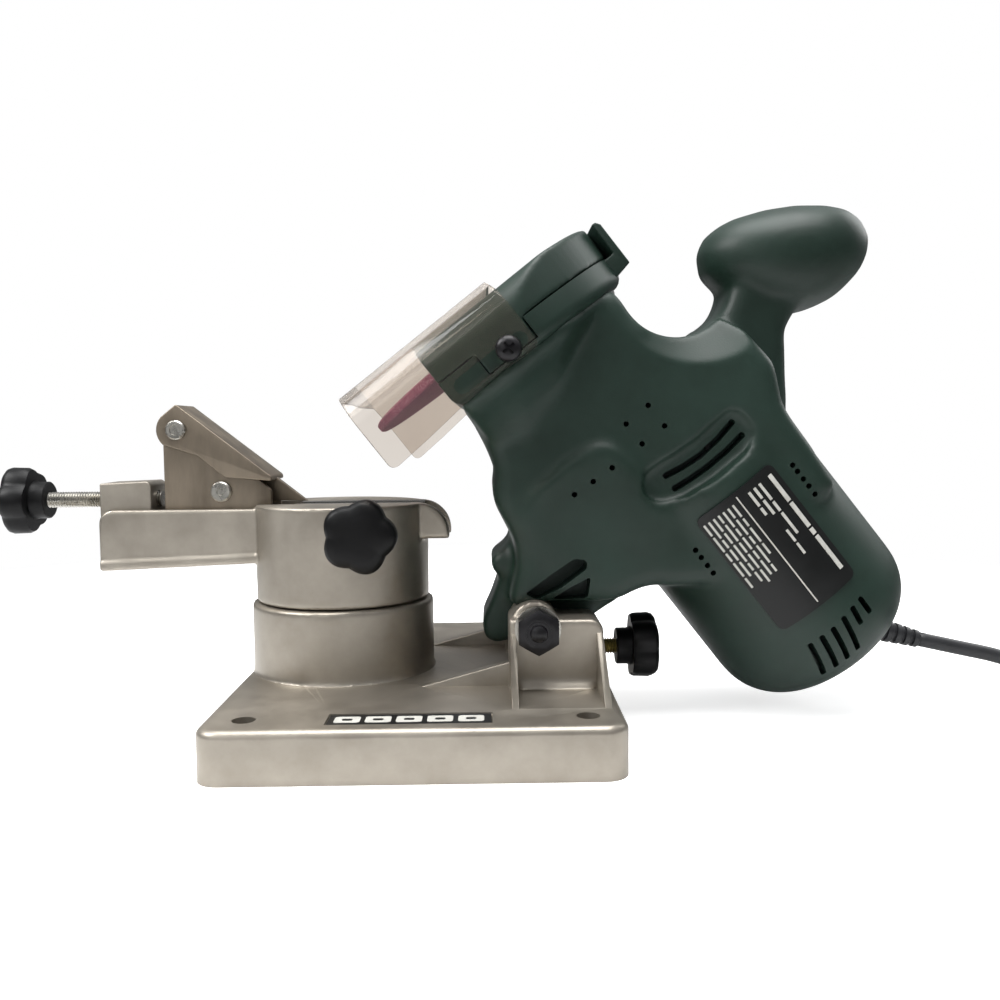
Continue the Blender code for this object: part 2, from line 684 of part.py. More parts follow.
def vise_table():
    low = DRUM_TOP + GAP
    body = rod("vise_table", "Z", (SWIVEL_X, 0), TABLE_RADIUS, low, TABLE_TOP, 48)
    corner = arc((RAIL_START_X + RAIL_CORNER, RAIL_TOP - RAIL_CORNER), RAIL_CORNER, 90, 180, 5)
    rail = [(SWIVEL_X, RAIL_TOP), *corner, (RAIL_START_X, RAIL_END_FOOT), (SWIVEL_X, RAIL_DRUM_FOOT)]
    join(body, slab("rail", rail, "Y", -RAIL_HALF, RAIL_HALF))
    lip = arc((LIP_END_X - LIP_ROUND, TABLE_TOP - LIP_ROUND), LIP_ROUND, 0, 90, 7)
    lip = [(LIP_END_X, LIP_FOOT), *lip, (SWIVEL_X, TABLE_TOP), (SWIVEL_X, LIP_FOOT)]
    join(body, slab("lip", lip, "Y", -RAIL_HALF, RAIL_HALF))
    slot_x = (CHANNEL_END_X - OVERRUN, LIP_END_X + OVERRUN)
    cut(body, block("slot", slot_x, (-SLOT_HALF, SLOT_HALF), (SLOT_FLOOR, TABLE_TOP + OVERRUN)))
    channel_x = (RAIL_START_X - OVERRUN, CHANNEL_END_X)
    cut(body, block("channel", channel_x, (-CHANNEL_HALF, CHANNEL_HALF), (CHANNEL_FLOOR, TABLE_TOP + OVERRUN)))
    cavity = TABLE_RADIUS - TABLE_WALL
    cut(body, rod("cavity", "Z", (SWIVEL_X, 0), cavity, low - OVERRUN, TABLE_CAVITY_TOP, 48))
    join(body, rod("boss", "Z", (SWIVEL_X, 0), SWIVEL_BOSS_RADIUS, low, TABLE_CAVITY_TOP + OVERRUN))
    hole = SWIVEL_BOLT_RADIUS + GAP
    cut(body, rod("bolt_hole", "Z", (SWIVEL_X, 0), hole, low - OVERRUN, low + SWIVEL_BOLT_DEPTH, SMALL_SIDES))
    hole = CLAMP_SCREW_RADIUS + GAP
    cut(body, rod("clamp_hole", "Y", (CLAMP_X, CLAMP_Z), hole, -TABLE_RADIUS, -SLOT_HALF + OVERRUN, SMALL_SIDES))
    return finish(body, "cast")


def jaws():
    z = (SLOT_FLOOR + GAP, TABLE_TOP)
    x = (JAW_START_X, JAW_END_X)
    front = -SLOT_HALF + GAP
    finish(block("moving_jaw", x, (front, front + JAW_THICKNESS), z), "steel")
    rear = SLOT_HALF - GAP
    finish(block("rear_jaw", x, (rear - REAR_JAW_THICKNESS, rear), z), "steel")


def knob(name, axis, place, face, away, bore, look="black"):
    """A lobed knob. Its hub starts at face and the knob goes on in the direction away, 1 or -1."""
    lobes = KNOB_LOBES * 10
    outline = []
    for i in range(lobes):
        angle = 2 * math.pi * i / lobes
        reach = KNOB_RADIUS * (1 - KNOB_LOBE_SHARE * (1 - math.cos(KNOB_LOBES * angle)) / 2)
        outline.append((place[0] + reach * math.sin(angle), place[1] + reach * math.cos(angle)))
    hub_end = face + away * KNOB_HUB
    wheel = sorted((hub_end, hub_end + away * KNOB_WHEEL))
    body = slab(name, outline, axis, *wheel)
    soften(body, KNOB_EDGE, 1, 60)
    settle(body)
    hub = sorted((face, hub_end + away * KNOB_WHEEL / 2))
    join(body, rod(name + "_hub", axis, place, KNOB_HUB_RADIUS, *hub, SMALL_SIDES))
    depth = sorted((face - away * OVERRUN, face + away * KNOB_BORE_DEPTH))
    cut(body, rod(name + "_bore", axis, place, bore + GAP, *depth, SMALL_SIDES))
    return finish(body, look)


def screws_and_knobs():
    clamp_place = (CLAMP_X, CLAMP_Z)
    nearest = max(0, abs(CLAMP_X - SWIVEL_X) - KNOB_HUB_RADIUS)
    hub_face = -math.sqrt(TABLE_RADIUS ** 2 - nearest ** 2) - CLAMP_TRAVEL - GAP
    tip = -SLOT_HALF + GAP - GAP
    shank = rod(
        "clamp_screw", "Y", clamp_place, CLAMP_SCREW_RADIUS, hub_face - KNOB_BORE_DEPTH + GAP, tip, SMALL_SIDES
    )
    finish(shank, "steel")
    knob("clamp_knob", "Y", clamp_place, hub_face, -1, CLAMP_SCREW_RADIUS)
    stop_place = (0, STOP_SCREW_Z)
    stop_end = STOP_KNOB_X - KNOB_BORE_DEPTH + GAP
    finish(rod("stop_screw", "X", stop_place, STOP_SCREW_RADIUS, stop_end, STOP_SCREW_TIP_X, SMALL_SIDES), "steel")
    knob("stop_knob", "X", stop_place, STOP_KNOB_X, -1, STOP_SCREW_RADIUS)
    depth_place = (0, DEPTH_SCREW_Z)
    depth_end = DEPTH_KNOB_X + KNOB_BORE_DEPTH - GAP
    finish(rod("depth_screw", "X", depth_place, STOP_SCREW_RADIUS, DEPTH_SCREW_TIP_X, depth_end, SMALL_SIDES), "steel")
    knob("depth_knob", "X", depth_place, DEPTH_KNOB_X, 1, STOP_SCREW_RADIUS)


def stop_block():
    half = CHANNEL_HALF - GAP
    start = RAIL_START_X - GAP
    x = (start, start + STOP_BLOCK_LENGTH)
    body = block("stop_block", x, (-half, half), (CHANNEL_FLOOR + GAP, STOP_BLOCK_TOP))
    hole = STOP_SCREW_RADIUS + GAP
    cut(body, rod("stop_hole", "X", (0, STOP_SCREW_Z), hole, x[0] - OVERRUN, x[1] + OVERRUN, SMALL_SIDES))
    finish(body, "sheet")


def stop_carriage():
    """A folded bracket in the rail's channel, with two ears for the tooth stop's pin."""
    half = CHANNEL_HALF - GAP
    low = CHANNEL_FLOOR + GAP
    ear = arc((PIN_X, PIN_Z), CARRIAGE_EAR_RADIUS, 60, 180, 7)
    outline = [(CARRIAGE_START_X, low), (CARRIAGE_END_X, low), (CARRIAGE_END_X, CARRIAGE_END_TOP), *ear]
    body = slab("stop_carriage", outline, "Y", -half, half)
    inner = half - CARRIAGE_PLATE
    x = (CARRIAGE_START_X - OVERRUN, CARRIAGE_END_X + OVERRUN)
    top = PIN_Z + CARRIAGE_EAR_RADIUS + OVERRUN
    cut(body, block("carriage_space", x, (-inner, inner), (low + CARRIAGE_FLOOR, top)))
    reach = half + OVERRUN
    cut(body, rod("pin_hole", "Y", (PIN_X, PIN_Z), PIN_RADIUS + GAP, -reach, reach, SMALL_SIDES))
    screw = (CARRIAGE_SCREW_X, CARRIAGE_SCREW_Z)
    cut(body, rod("screw_hole", "Y", screw, CARRIAGE_SCREW_RADIUS + GAP, -reach, reach, SMALL_SIDES))
    finish(body, "sheet")
    headed_pin("carriage_screw", screw, CARRIAGE_SCREW_RADIUS, half + GAP, CARRIAGE_SCREW_HEAD)
    headed_pin("pawl_pin", (PIN_X, PIN_Z), PIN_RADIUS, half + 2 * GAP + PAWL_SHEET, PIN_HEAD_RADIUS)


def headed_pin(name, place, radius, seat, head_radius):
    """A pin along Y with a flat head at both ends, each head's inner face at seat."""
    body = rod(name, "Y", place, radius, -seat - GAP, seat + GAP, SMALL_SIDES)
    for side in (-1, 1):
        span = sorted((side * seat, side * (seat + PIN_HEAD_HEIGHT)))
        join(body, rod(name + "_head", "Y", place, head_radius, *span, SMALL_SIDES))
    return finish(body, "steel")


def tooth_stop():
    """The hinged channel that drops its blade behind a cutter's back."""
    inner = CHANNEL_HALF
    outer = inner + PAWL_SHEET
    apex = (PIN_X, PIN_Z + PAWL_APEX_RISE)
    nose = arc((PIN_X, PIN_Z), PAWL_SKIRT, 140, 230, 5)
    slope = (PAWL_END_Z - apex[1]) / (PAWL_END_X - apex[0])
    middle = (PIN_X + PAWL_END_X) / 2
    low = apex[1] + slope * (middle - apex[0]) - 2 * PAWL_SKIRT
    outline = [apex, *nose, (middle, low), (PAWL_END_X, PAWL_END_Z - PAWL_SHEET), (PAWL_END_X, PAWL_END_Z)]
    body = slab("tooth_stop", outline, "Y", -outer, outer)
    roof_drop = PAWL_SHEET / math.cos(math.atan(slope))
    under = [
        (apex[0] - PAWL_SKIRT * 2, apex[1] - slope * PAWL_SKIRT * 2 - roof_drop),
        (PAWL_END_X + OVERRUN, PAWL_END_Z + slope * OVERRUN - roof_drop),
        (PAWL_END_X + OVERRUN, PIN_Z - PAWL_SKIRT * 4),
        (apex[0] - PAWL_SKIRT * 2, PIN_Z - PAWL_SKIRT * 4),
    ]
    cut(body, slab("pawl_space", under, "Y", -inner, inner))
    blade = [
        (PAWL_END_X - PAWL_SKIRT, PAWL_END_Z - slope * PAWL_SKIRT - roof_drop / 2),
        (PAWL_END_X - PAWL_SKIRT / 2, PAWL_TIP_Z),
        (PAWL_TIP_X, PAWL_TIP_Z),
        (PAWL_END_X, PAWL_END_Z - roof_drop / 3),
    ]
    join(body, slab("pawl_blade", blade, "Y", -PAWL_BLADE_HALF, PAWL_BLADE_HALF))
    reach = outer + OVERRUN
    cut(body, rod("pawl_hole", "Y", (PIN_X, PIN_Z), PIN_RADIUS + GAP, -reach, reach, SMALL_SIDES))
    finish(body, "sheet")


def head_points(shares):
    """Head outline points from shares of its span and of the wheel plane's height."""
    span = MOTOR_U + MOTOR_RADIUS
    return [(u * span, w * WHEEL_W) for u, w in shares]


def case_outline(half, radius, start):
    """The wheel case seen along the spindle: flat sides, a round end and a square mouth."""
    bend = math.degrees(math.asin(half / radius))
    return [(start, -half), *arc((SPINDLE_U, 0), radius, -bend, bend, 17), (start, half)]


def belt_outline(large, small, count=13):
    """A loop round the spindle's and the motor's axis with a radius at each."""
    lean = math.degrees(math.asin((large - small) / (MOTOR_U - SPINDLE_U)))
    points = arc((SPINDLE_U, 0), large, 90 - lean, 270 + lean, count)
    return points + arc((MOTOR_U, 0), small, -90 + lean, 90 - lean, count)


def case_floor_w():
    return WHEEL_W - WHEEL_THICKNESS / 2 - INNER_FLANGE_THICKNESS - GAP


def case_top_w():
    return case_bottom_w() + CASE_DEPTH


def case_bottom_w():
    return case_floor_w() - CASE_FLOOR


def lid_bottom_w():
    return case_top_w() + GAP


def housing_body(head):
    """The whole outer form of the head's housing, before it is hollowed and split."""
    finger = arc((FINGER_U, FINGER_W), FINGER_RADIUS, -78, -195, 10)
    outline = head_points(BODY_OUTLINE_SHARES) + finger + [(FINGER_U - FINGER_RADIUS, case_bottom_w() + GAP)]
    body = slab("housing_whole", outline, "Y", -BODY_HALF, BODY_HALF, head)
    soften(body, BODY_EDGE, 3, 50)
    settle(body)
    round_end = arc((MOTOR_RADIUS - MOTOR_END_ROUND, MOTOR_END_W + MOTOR_END_ROUND), MOTOR_END_ROUND, 0, -90, 5)
    shoulder = MOTOR_SHOULDER_W + MOTOR_SHOULDER_LENGTH
    profile = [(0, shoulder), (BODY_HALF - BODY_EDGE * 2, shoulder), (MOTOR_RADIUS, MOTOR_SHOULDER_W)]
    profile += [*round_end, (0, MOTOR_END_W)]
    join(body, turned("barrel", profile, (MOTOR_U, 0, 0), parent=head))
    low, top = case_bottom_w(), case_top_w()
    plan = case_outline(CASE_HALF, CASE_RADIUS, CASE_START_U)
    join(body, slab("case", plan, "Z", low, top, head))
    flare = case_outline(CASE_FLARE_HALF, CASE_FLARE_HALF + GAP, CASE_START_U + 2 * GAP)
    join(body, slab("case_flare", flare, "Z", low - CASE_FLARE_DEPTH, low + OVERRUN, head))
    rim_end = SPINDLE_U + CASE_RADIUS + GAP + RIM_THICKNESS
    rim_y = (-RIM_HALF, RIM_HALF)
    inner = rim_end - RIM_THICKNESS
    foot = inner - 2 * RIM_THICKNESS
    rim = [
        (foot, low + OVERRUN),
        (rim_end, low + OVERRUN),
        (rim_end, top + RIM_HEIGHT),
        (inner, top + RIM_HEIGHT),
        (inner, top - GAP),
        (foot, top - GAP),
    ]
    join(body, slab("rim", rim, "Y", *rim_y, head))
    neck = slab("neck", head_points(NECK_OUTLINE_SHARES), "Y", -NECK_HALF, NECK_HALF, head)
    settle(soften(neck, NECK_EDGE, 2, 50))
    arm_half = TOWER_INNER - 2 * GAP
    web_half = arm_half - GAP
    arm = slab("arm", head_points(ARM_OUTLINE_SHARES), "Y", -web_half, web_half, head)
    knuckle = rod("knuckle", "Y", (0, 0), KNUCKLE_RADIUS, -arm_half, arm_half, parent=head)
    join(body, neck, handle_form("handle_form", 0, head), arm, knuckle)
    return settle(body)


def handle_form(name, wall, head):
    """The mushroom grip, or its hollow when a wall is taken off."""
    bm = bmesh.new()
    size = Vector((HANDLE_LENGTH, HANDLE_BREADTH, HANDLE_THICKNESS)) / 2 - Vector((wall, wall, wall))
    place = Matrix.Translation((HANDLE_U, 0, HANDLE_W)) @ Matrix.Rotation(math.radians(HANDLE_DROP), 4, "Y")
    bmesh.ops.create_uvsphere(bm, u_segments=24, v_segments=14, radius=1, matrix=place @ Matrix.Diagonal(size).to_4x4())
    return shape(name, bm, head)


def hollow_out(body, head):
    bore = MOTOR_RADIUS - MOTOR_WALL
    seat = BEARING_RADIUS + GAP
    motor = (MOTOR_U, 0)
    spindle = (SPINDLE_U, 0)
    end = MOTOR_END_W + MOTOR_WALL
    round_centre = (MOTOR_RADIUS - MOTOR_END_ROUND, MOTOR_END_W + MOTOR_END_ROUND)
    neck_in = MOTOR_SHOULDER_W - MOTOR_WALL
    profile = [(0, MOTOR_BORE_TOP_W), (FAN_BORE, MOTOR_BORE_TOP_W), (FAN_BORE, neck_in), (bore, neck_in - MOTOR_WALL)]
    profile += [*arc(round_centre, MOTOR_END_ROUND - MOTOR_WALL, 0, -90, 5), (0, end)]
    cut(body, turned("motor_bore", profile, (MOTOR_U, 0, 0), parent=head))
    join(body, rod("rear_boss", "Z", motor, REAR_BOSS_RADIUS, end - GAP, REAR_BEARING_W + BEARING_WIDTH, parent=head))
    cut(body, rod("rear_seat", "Z", motor, seat, REAR_BEARING_W - GAP, MOTOR_BORE_TOP_W, parent=head))
    front_top = MOTOR_BORE_TOP_W + 2 * BEARING_WIDTH
    cut(body, rod("front_seat", "Z", motor, seat, MOTOR_BORE_TOP_W - OVERRUN, front_top - GAP, parent=head))
    drive_top = DRIVE_LOW_W + DRIVE_HEIGHT
    space = belt_outline(DRIVE_LARGE_SPACE, DRIVE_SMALL_SPACE)
    cut(body, slab("drive_space", space, "Z", DRIVE_LOW_W, drive_top, head))
    cut(body, rod("motor_hole", "Z", motor, SHAFT_HOLE, front_top - OVERRUN, DRIVE_LOW_W + OVERRUN, parent=head))
    low_seat = DRIVE_LOW_W - BEARING_WIDTH - 2 * GAP
    cut(body, rod("spindle_low_seat", "Z", spindle, seat, low_seat, DRIVE_LOW_W + OVERRUN, parent=head))
    floor = case_floor_w()
    high_seat = floor - BEARING_WIDTH - 2 * GAP
    cut(body, rod("spindle_high_seat", "Z", spindle, seat, high_seat, floor + OVERRUN, parent=head))
    cut(body, rod("spindle_hole", "Z", spindle, SHAFT_HOLE, drive_top - OVERRUN, floor, parent=head))
    chamber = WHEEL_RADIUS + CHAMBER_CLEARANCE
    cut(body, rod("chamber_floor", "Z", spindle, chamber, floor, case_top_w() + OVERRUN, 48, parent=head))
    settle(body)
    cavity = slab(
        "neck_cavity", head_points(NECK_CAVITY_SHARES), "Y", SHELL - NECK_HALF, NECK_HALF - SHELL, head
    )
    cut(body, cavity, handle_form("handle_cavity", SHELL, head))
    half = HANDLE_BREADTH / 2 - SHELL / 2
    join(body, rod("handle_boss", "Y", (HANDLE_U, HANDLE_W), HANDLE_BOSS_RADIUS, -half, half, parent=head))
    sleeve = HINGE_BOLT_RADIUS + 2 * GAP + SLEEVE_WALL
    cut(body, rod("sleeve_hole", "Y", (0, 0), sleeve, -TOWER_INNER, TOWER_INNER, SMALL_SIDES, parent=head))
    notch_x = (PIVOT_X + NOTCH_X, PIVOT_X + 2 * KNUCKLE_RADIUS)
    notch_z = (PIVOT_Z - 2 * KNUCKLE_RADIUS, PIVOT_Z - NOTCH_DROP)
    cut(body, into_head(block("notch", notch_x, (-TOWER_INNER, TOWER_INNER), notch_z)))
    tabs = []
    for side in (-1, 1):
        tabs.append(lid_tab(side, GAP, head))
        span = sorted((side * (CASE_HALF - GUARD_SCREW_DEPTH), side * (CASE_HALF + OVERRUN)))
        screw = (GUARD_SCREW_U, GUARD_SCREW_W)
        tabs.append(rod("tap", "Y", screw, GUARD_SCREW_RADIUS + GAP, *span, SMALL_SIDES, parent=head))
    cut(body, *tabs)
    exit_hole = slanted_rod("relief_hole", RELIEF_START, RELIEF_END, RELIEF_RADIUS + GAP, OVERRUN)
    cut(body, into_head(exit_hole))
    return settle(body)


def lid_tab(side, margin, head):
    """One of the two tongues that bring the lid down to a guard screw, grown by a margin for its notch."""
    u = (GUARD_SCREW_U - LID_TAB_LENGTH / 2 - margin, GUARD_SCREW_U + LID_TAB_LENGTH / 2 + margin)
    y = sorted((side * (CASE_HALF - LID_TAB_THICKNESS - margin), side * (CASE_HALF + margin * 4)))
    w = (case_top_w() - LID_TAB_DROP - margin, lid_bottom_w() + LID_ROOF)
    return block("lid_tab", u, y, w, head)


def slanted_rod(name, start, end, radius, extra=0, end_radius=None, sides=SMALL_SIDES):
    """A round bar between two points, run on by extra at both ends."""
    first, second = Vector(start), Vector(end)
    along = (second - first).normalized()
    turn = along.to_track_quat("Z", "Y").to_matrix().to_4x4()
    length = (second - first).length + 2 * extra
    bm = bmesh.new()
    bmesh.ops.create_cone(
        bm,
        cap_ends=True,
        segments=sides,
        radius1=radius,
        radius2=radius if end_radius is None else end_radius,
        depth=length,
        matrix=Matrix.Translation((first + second) / 2) @ turn,
    )
    return shape(name, bm)


def screw_places():
    places = dict(zip(SCREW_PLACE_SHARES, head_points(SCREW_PLACE_SHARES.values())))
    faces = {name: BODY_HALF for name in places}
    places["housing_screw_handle"] = (HANDLE_U, HANDLE_W)
    faces["housing_screw_handle"] = HANDLE_BREADTH / 2
    return places, faces


def housing(head):
    """Two half shells that meet at the middle plane, with their four screws."""
    body = hollow_out(housing_body(head), head)
    places, faces = screw_places()
    for name, place in places.items():
        head_seat = faces[name] - 2 * HOUSING_SCREW_HEAD_HEIGHT
        hole = HOUSING_SCREW_RADIUS + GAP
        start = -HOUSING_SCREW_REACH - GAP
        cut(body, rod("screw_way", "Y", place, hole, start, head_seat + OVERRUN, SMALL_SIDES, parent=head))
        recess = HOUSING_SCREW_HEAD + GAP
        cut(body, rod("screw_recess", "Y", place, recess, head_seat, faces[name] + OVERRUN, SMALL_SIDES, parent=head))
        screw = rod(name, "Y", place, HOUSING_SCREW_HEAD, head_seat + GAP, head_seat + HOUSING_SCREW_HEAD_HEIGHT)
        screw.parent = head
        shank_end = head_seat + HOUSING_SCREW_HEAD_HEIGHT / 2
        shank = rod("shank", "Y", place, HOUSING_SCREW_RADIUS, start + GAP, shank_end, SMALL_SIDES, parent=head)
        finish(join(screw, shank), "steel")
    cut(body, *switch_pocket(head))
    settle(body)
    reach = (MOTOR_U + MOTOR_RADIUS) * 2
    for name, span in (("housing_front", (-GAP / 2, reach)), ("housing_rear", (-reach, GAP / 2))):
        half = body.copy()
        half.data = body.data.copy()
        half.name = name
        TOOLS.objects.link(half)
        cut(half, block(name + "_cut", (-reach, reach), span, (-reach, reach), head))
        finish(settle(half), "green")
    bpy.data.objects.remove(body, do_unlink=True)


def switch_pocket(head):
    u = (SWITCH_U - SWITCH_WIDTH / 2 - GAP, SWITCH_U + SWITCH_WIDTH / 2 + GAP)
    w = (SWITCH_W - SWITCH_LENGTH / 2 - GAP, SWITCH_W + SWITCH_LENGTH / 2 + GAP)
    return [block("switch_pocket", u, (BODY_HALF - SWITCH_DEPTH - GAP, BODY_HALF + OVERRUN), w, head)]


def switch(head):
    """A rocker switch let into the housing's rear side."""
    u = (SWITCH_U - SWITCH_WIDTH / 2, SWITCH_U + SWITCH_WIDTH / 2)
    w = (SWITCH_W - SWITCH_LENGTH / 2, SWITCH_W + SWITCH_LENGTH / 2)
    finish(block("switch_body", u, (BODY_HALF - SWITCH_DEPTH, BODY_HALF), w, head), "black")
    half = ROCKER_LENGTH / 2
    seat = BODY_HALF + GAP
    outline = [
        (seat + ROCKER_LIFT, SWITCH_W - half),
        (seat, SWITCH_W),
        (seat + ROCKER_LIFT, SWITCH_W + half),
        (seat + ROCKER_RISE + ROCKER_LIFT, SWITCH_W + half),
        (seat + ROCKER_RISE, SWITCH_W),
        (seat + ROCKER_RISE, SWITCH_W - half),
    ]
    rocker = slab("switch_rocker", outline, "X", SWITCH_U - ROCKER_WIDTH / 2, SWITCH_U + ROCKER_WIDTH / 2, head)
    finish(rocker, "black")


def lid(head):
    """The wheel case's lid with its two tongues."""
    low = lid_bottom_w()
    top = low + LID_HEIGHT
    plan = case_outline(CASE_HALF, CASE_RADIUS, CASE_START_U)
    body = slab("wheel_lid", plan, "Z", low, top, head)
    half, fold, flat, peak = guard_section(GUARD_SHEET + GAP)
    join(body, lid_tab(-1, 0, head), lid_tab(1, 0, head))
    foot = case_top_w() - LID_TAB_DROP - OVERRUN
    section = [(-half, foot), (half, foot), (half, fold), (flat, peak), (-flat, peak), (-half, fold)]
    reach = SPINDLE_U + CASE_RADIUS + OVERRUN
    cut(body, slab("lid_section", section, "X", CASE_START_U - OVERRUN, reach, head), mode="INTERSECT")
    chamber = WHEEL_RADIUS + CHAMBER_CLEARANCE
    ceiling = top - LID_ROOF
    shoulder = ceiling - CHAMBER_SHOULDER
    spindle = (SPINDLE_U, 0)
    cut(body, rod("lid_chamber", "Z", spindle, chamber, low - LID_TAB_DROP * 2, shoulder, 48, parent=head))
    narrow = chamber - LID_EDGE
    cut(body, rod("lid_cone", "Z", spindle, chamber, shoulder - GAP, ceiling, 48, narrow, head))
    for side in (-1, 1):
        span = sorted((side * (CASE_HALF - GUARD_SCREW_DEPTH), side * (CASE_HALF + OVERRUN)))
        screw = (GUARD_SCREW_U, GUARD_SCREW_W)
        cut(body, rod("lid_screw_hole", "Y", screw, GUARD_SCREW_RADIUS + GAP, *span, SMALL_SIDES, parent=head))
    return finish(body, "green")


def guard_section(offset):
    """Half of the guard's outer section in (y, w), drawn in by an offset, from the foot up to the middle."""
    half = CASE_HALF + GAP + GUARD_SHEET - offset
    lean = math.atan2(GUARD_TOP_W - GUARD_FOLD_W, GUARD_FOLD_IN)
    slip = offset * math.tan(lean / 2)
    fold = GUARD_FOLD_W - slip
    top = GUARD_TOP_W - offset
    inward = (top - fold) / math.tan(lean)
    return half, fold, half - inward, top


def guard(head):
    """The clear wheel guard: two slotted sides, folded shoulders and a top, open towards the chain."""
    half, fold, flat, top = guard_section(0)
    outline = [(-half, GUARD_LOW_W), (half, GUARD_LOW_W), (half, fold), (flat, top), (-flat, top), (-half, fold)]
    body = slab("wheel_guard", outline, "X", GUARD_START_U, GUARD_END_U, head)
    in_half, in_fold, in_flat, in_top = guard_section(GUARD_SHEET)
    low = GUARD_LOW_W - OVERRUN
    outline = [(-in_half, low), (in_half, low), (in_half, in_fold), (in_flat, in_top), (-in_flat, in_top), (-in_half, in_fold)]
    cut(body, slab("guard_space", outline, "X", GUARD_START_U - OVERRUN, GUARD_END_U + OVERRUN, head))
    step_u = (GUARD_STEP_U, GUARD_END_U + OVERRUN)
    cut(body, block("guard_step", step_u, (-half * 2, half * 2), (low, GUARD_LOW_W + GUARD_STEP), head))
    width = GUARD_SCREW_RADIUS + GAP
    slot = arc((GUARD_SLOT_START_U + width, GUARD_SCREW_W), width, 90, 270, 7)
    slot += arc((GUARD_SLOT_END_U - width, GUARD_SCREW_W), width, -90, 90, 7)
    cut(body, slab("guard_slot", slot, "Y", -half * 2, half * 2, head))
    finish(body, "clear")
    seat = half + GAP
    for name, side in (("guard_screw_front", -1), ("guard_screw_rear", 1)):
        place = (GUARD_SCREW_U, GUARD_SCREW_W)
        span = sorted((side * seat, side * (seat + GUARD_SCREW_HEAD_HEIGHT)))
        screw = rod(name, "Y", place, GUARD_SCREW_HEAD, *span, SMALL_SIDES, parent=head)
        inner = CASE_HALF - GUARD_SCREW_DEPTH + GAP
        span = sorted((side * inner, side * (seat + GUARD_SCREW_HEAD_HEIGHT / 2)))
        join(screw, rod("screw_shank", "Y", place, GUARD_SCREW_RADIUS, *span, SMALL_SIDES, parent=head))
        finish(screw, "black")


def bearing(name, centre, low, head):
    ring(name, "Z", centre, BEARING_RADIUS, BEARING_BORE, low, low + BEARING_WIDTH, "steel", 24, head)


def spindle_set(head):
    """The wheel's spindle with its pulley, bearings, flanges, nut and wheel."""
    place = (SPINDLE_U, 0)
    low_bearing = DRIVE_LOW_W - BEARING_WIDTH - GAP
    floor = case_floor_w()
    high_bearing = floor - BEARING_WIDTH - GAP
    bearing("spindle_bearing_lower", place, low_bearing, head)
    bearing("spindle_bearing_upper", place, high_bearing, head)
    flange_low = floor + GAP
    wheel_low = WHEEL_W - WHEEL_THICKNESS / 2
    wheel_top = wheel_low + WHEEL_THICKNESS
    outer_low = wheel_top + GAP
    outer_top = outer_low + OUTER_FLANGE_THICKNESS
    nut_low = outer_top + GAP
    nut_top = nut_low + WHEEL_NUT_HEIGHT
    profile = [
        (0, nut_top),
        (SHAFT_RADIUS, nut_top),
        (SHAFT_RADIUS, outer_low),
        (SPINDLE_SEAT_RADIUS, outer_low),
        (SPINDLE_SEAT_RADIUS, flange_low + GAP),
        (SHAFT_RADIUS, flange_low + GAP),
        (SHAFT_RADIUS, low_bearing),
        (0, low_bearing),
    ]
    finish(turned("spindle", profile, (SPINDLE_U, 0, 0), parent=head), "steel")
    ring("wheel_flange_inner", "Z", place, FLANGE_RADIUS, WHEEL_BORE, flange_low, wheel_low - GAP, "steel", parent=head)
    ring("grinding_wheel", "Z", place, WHEEL_RADIUS, WHEEL_BORE, wheel_low, wheel_top, "wheel", 64, head)
    ring("wheel_flange_outer", "Z", place, FLANGE_RADIUS, BEARING_BORE, outer_low, outer_top, "steel", parent=head)
    ring("wheel_nut", "Z", place, WHEEL_NUT_RADIUS, BEARING_BORE, nut_low, nut_top, "steel", 6, head)
    pulley("spindle_pulley", place, LARGE_PULLEY_RADIUS, head)


def pulley(name, place, radius, head):
    low = DRIVE_LOW_W + (DRIVE_HEIGHT - PULLEY_WIDTH) / 2
    ring(name, "Z", place, radius, BEARING_BORE, low, low + PULLEY_WIDTH, "steel", 24, head)


def drive_belt(head):
    low = DRIVE_LOW_W + (DRIVE_HEIGHT - BELT_WIDTH) / 2
    outer = belt_outline(LARGE_PULLEY_RADIUS + GAP + BELT_THICKNESS, SMALL_PULLEY_RADIUS + GAP + BELT_THICKNESS)
    inner = belt_outline(LARGE_PULLEY_RADIUS + GAP, SMALL_PULLEY_RADIUS + GAP)
    body = slab("drive_belt", outer, "Z", low, low + BELT_WIDTH, head)
    cut(body, slab("belt_space", inner, "Z", low - OVERRUN, low + BELT_WIDTH + OVERRUN, head))
    finish(body, "black")


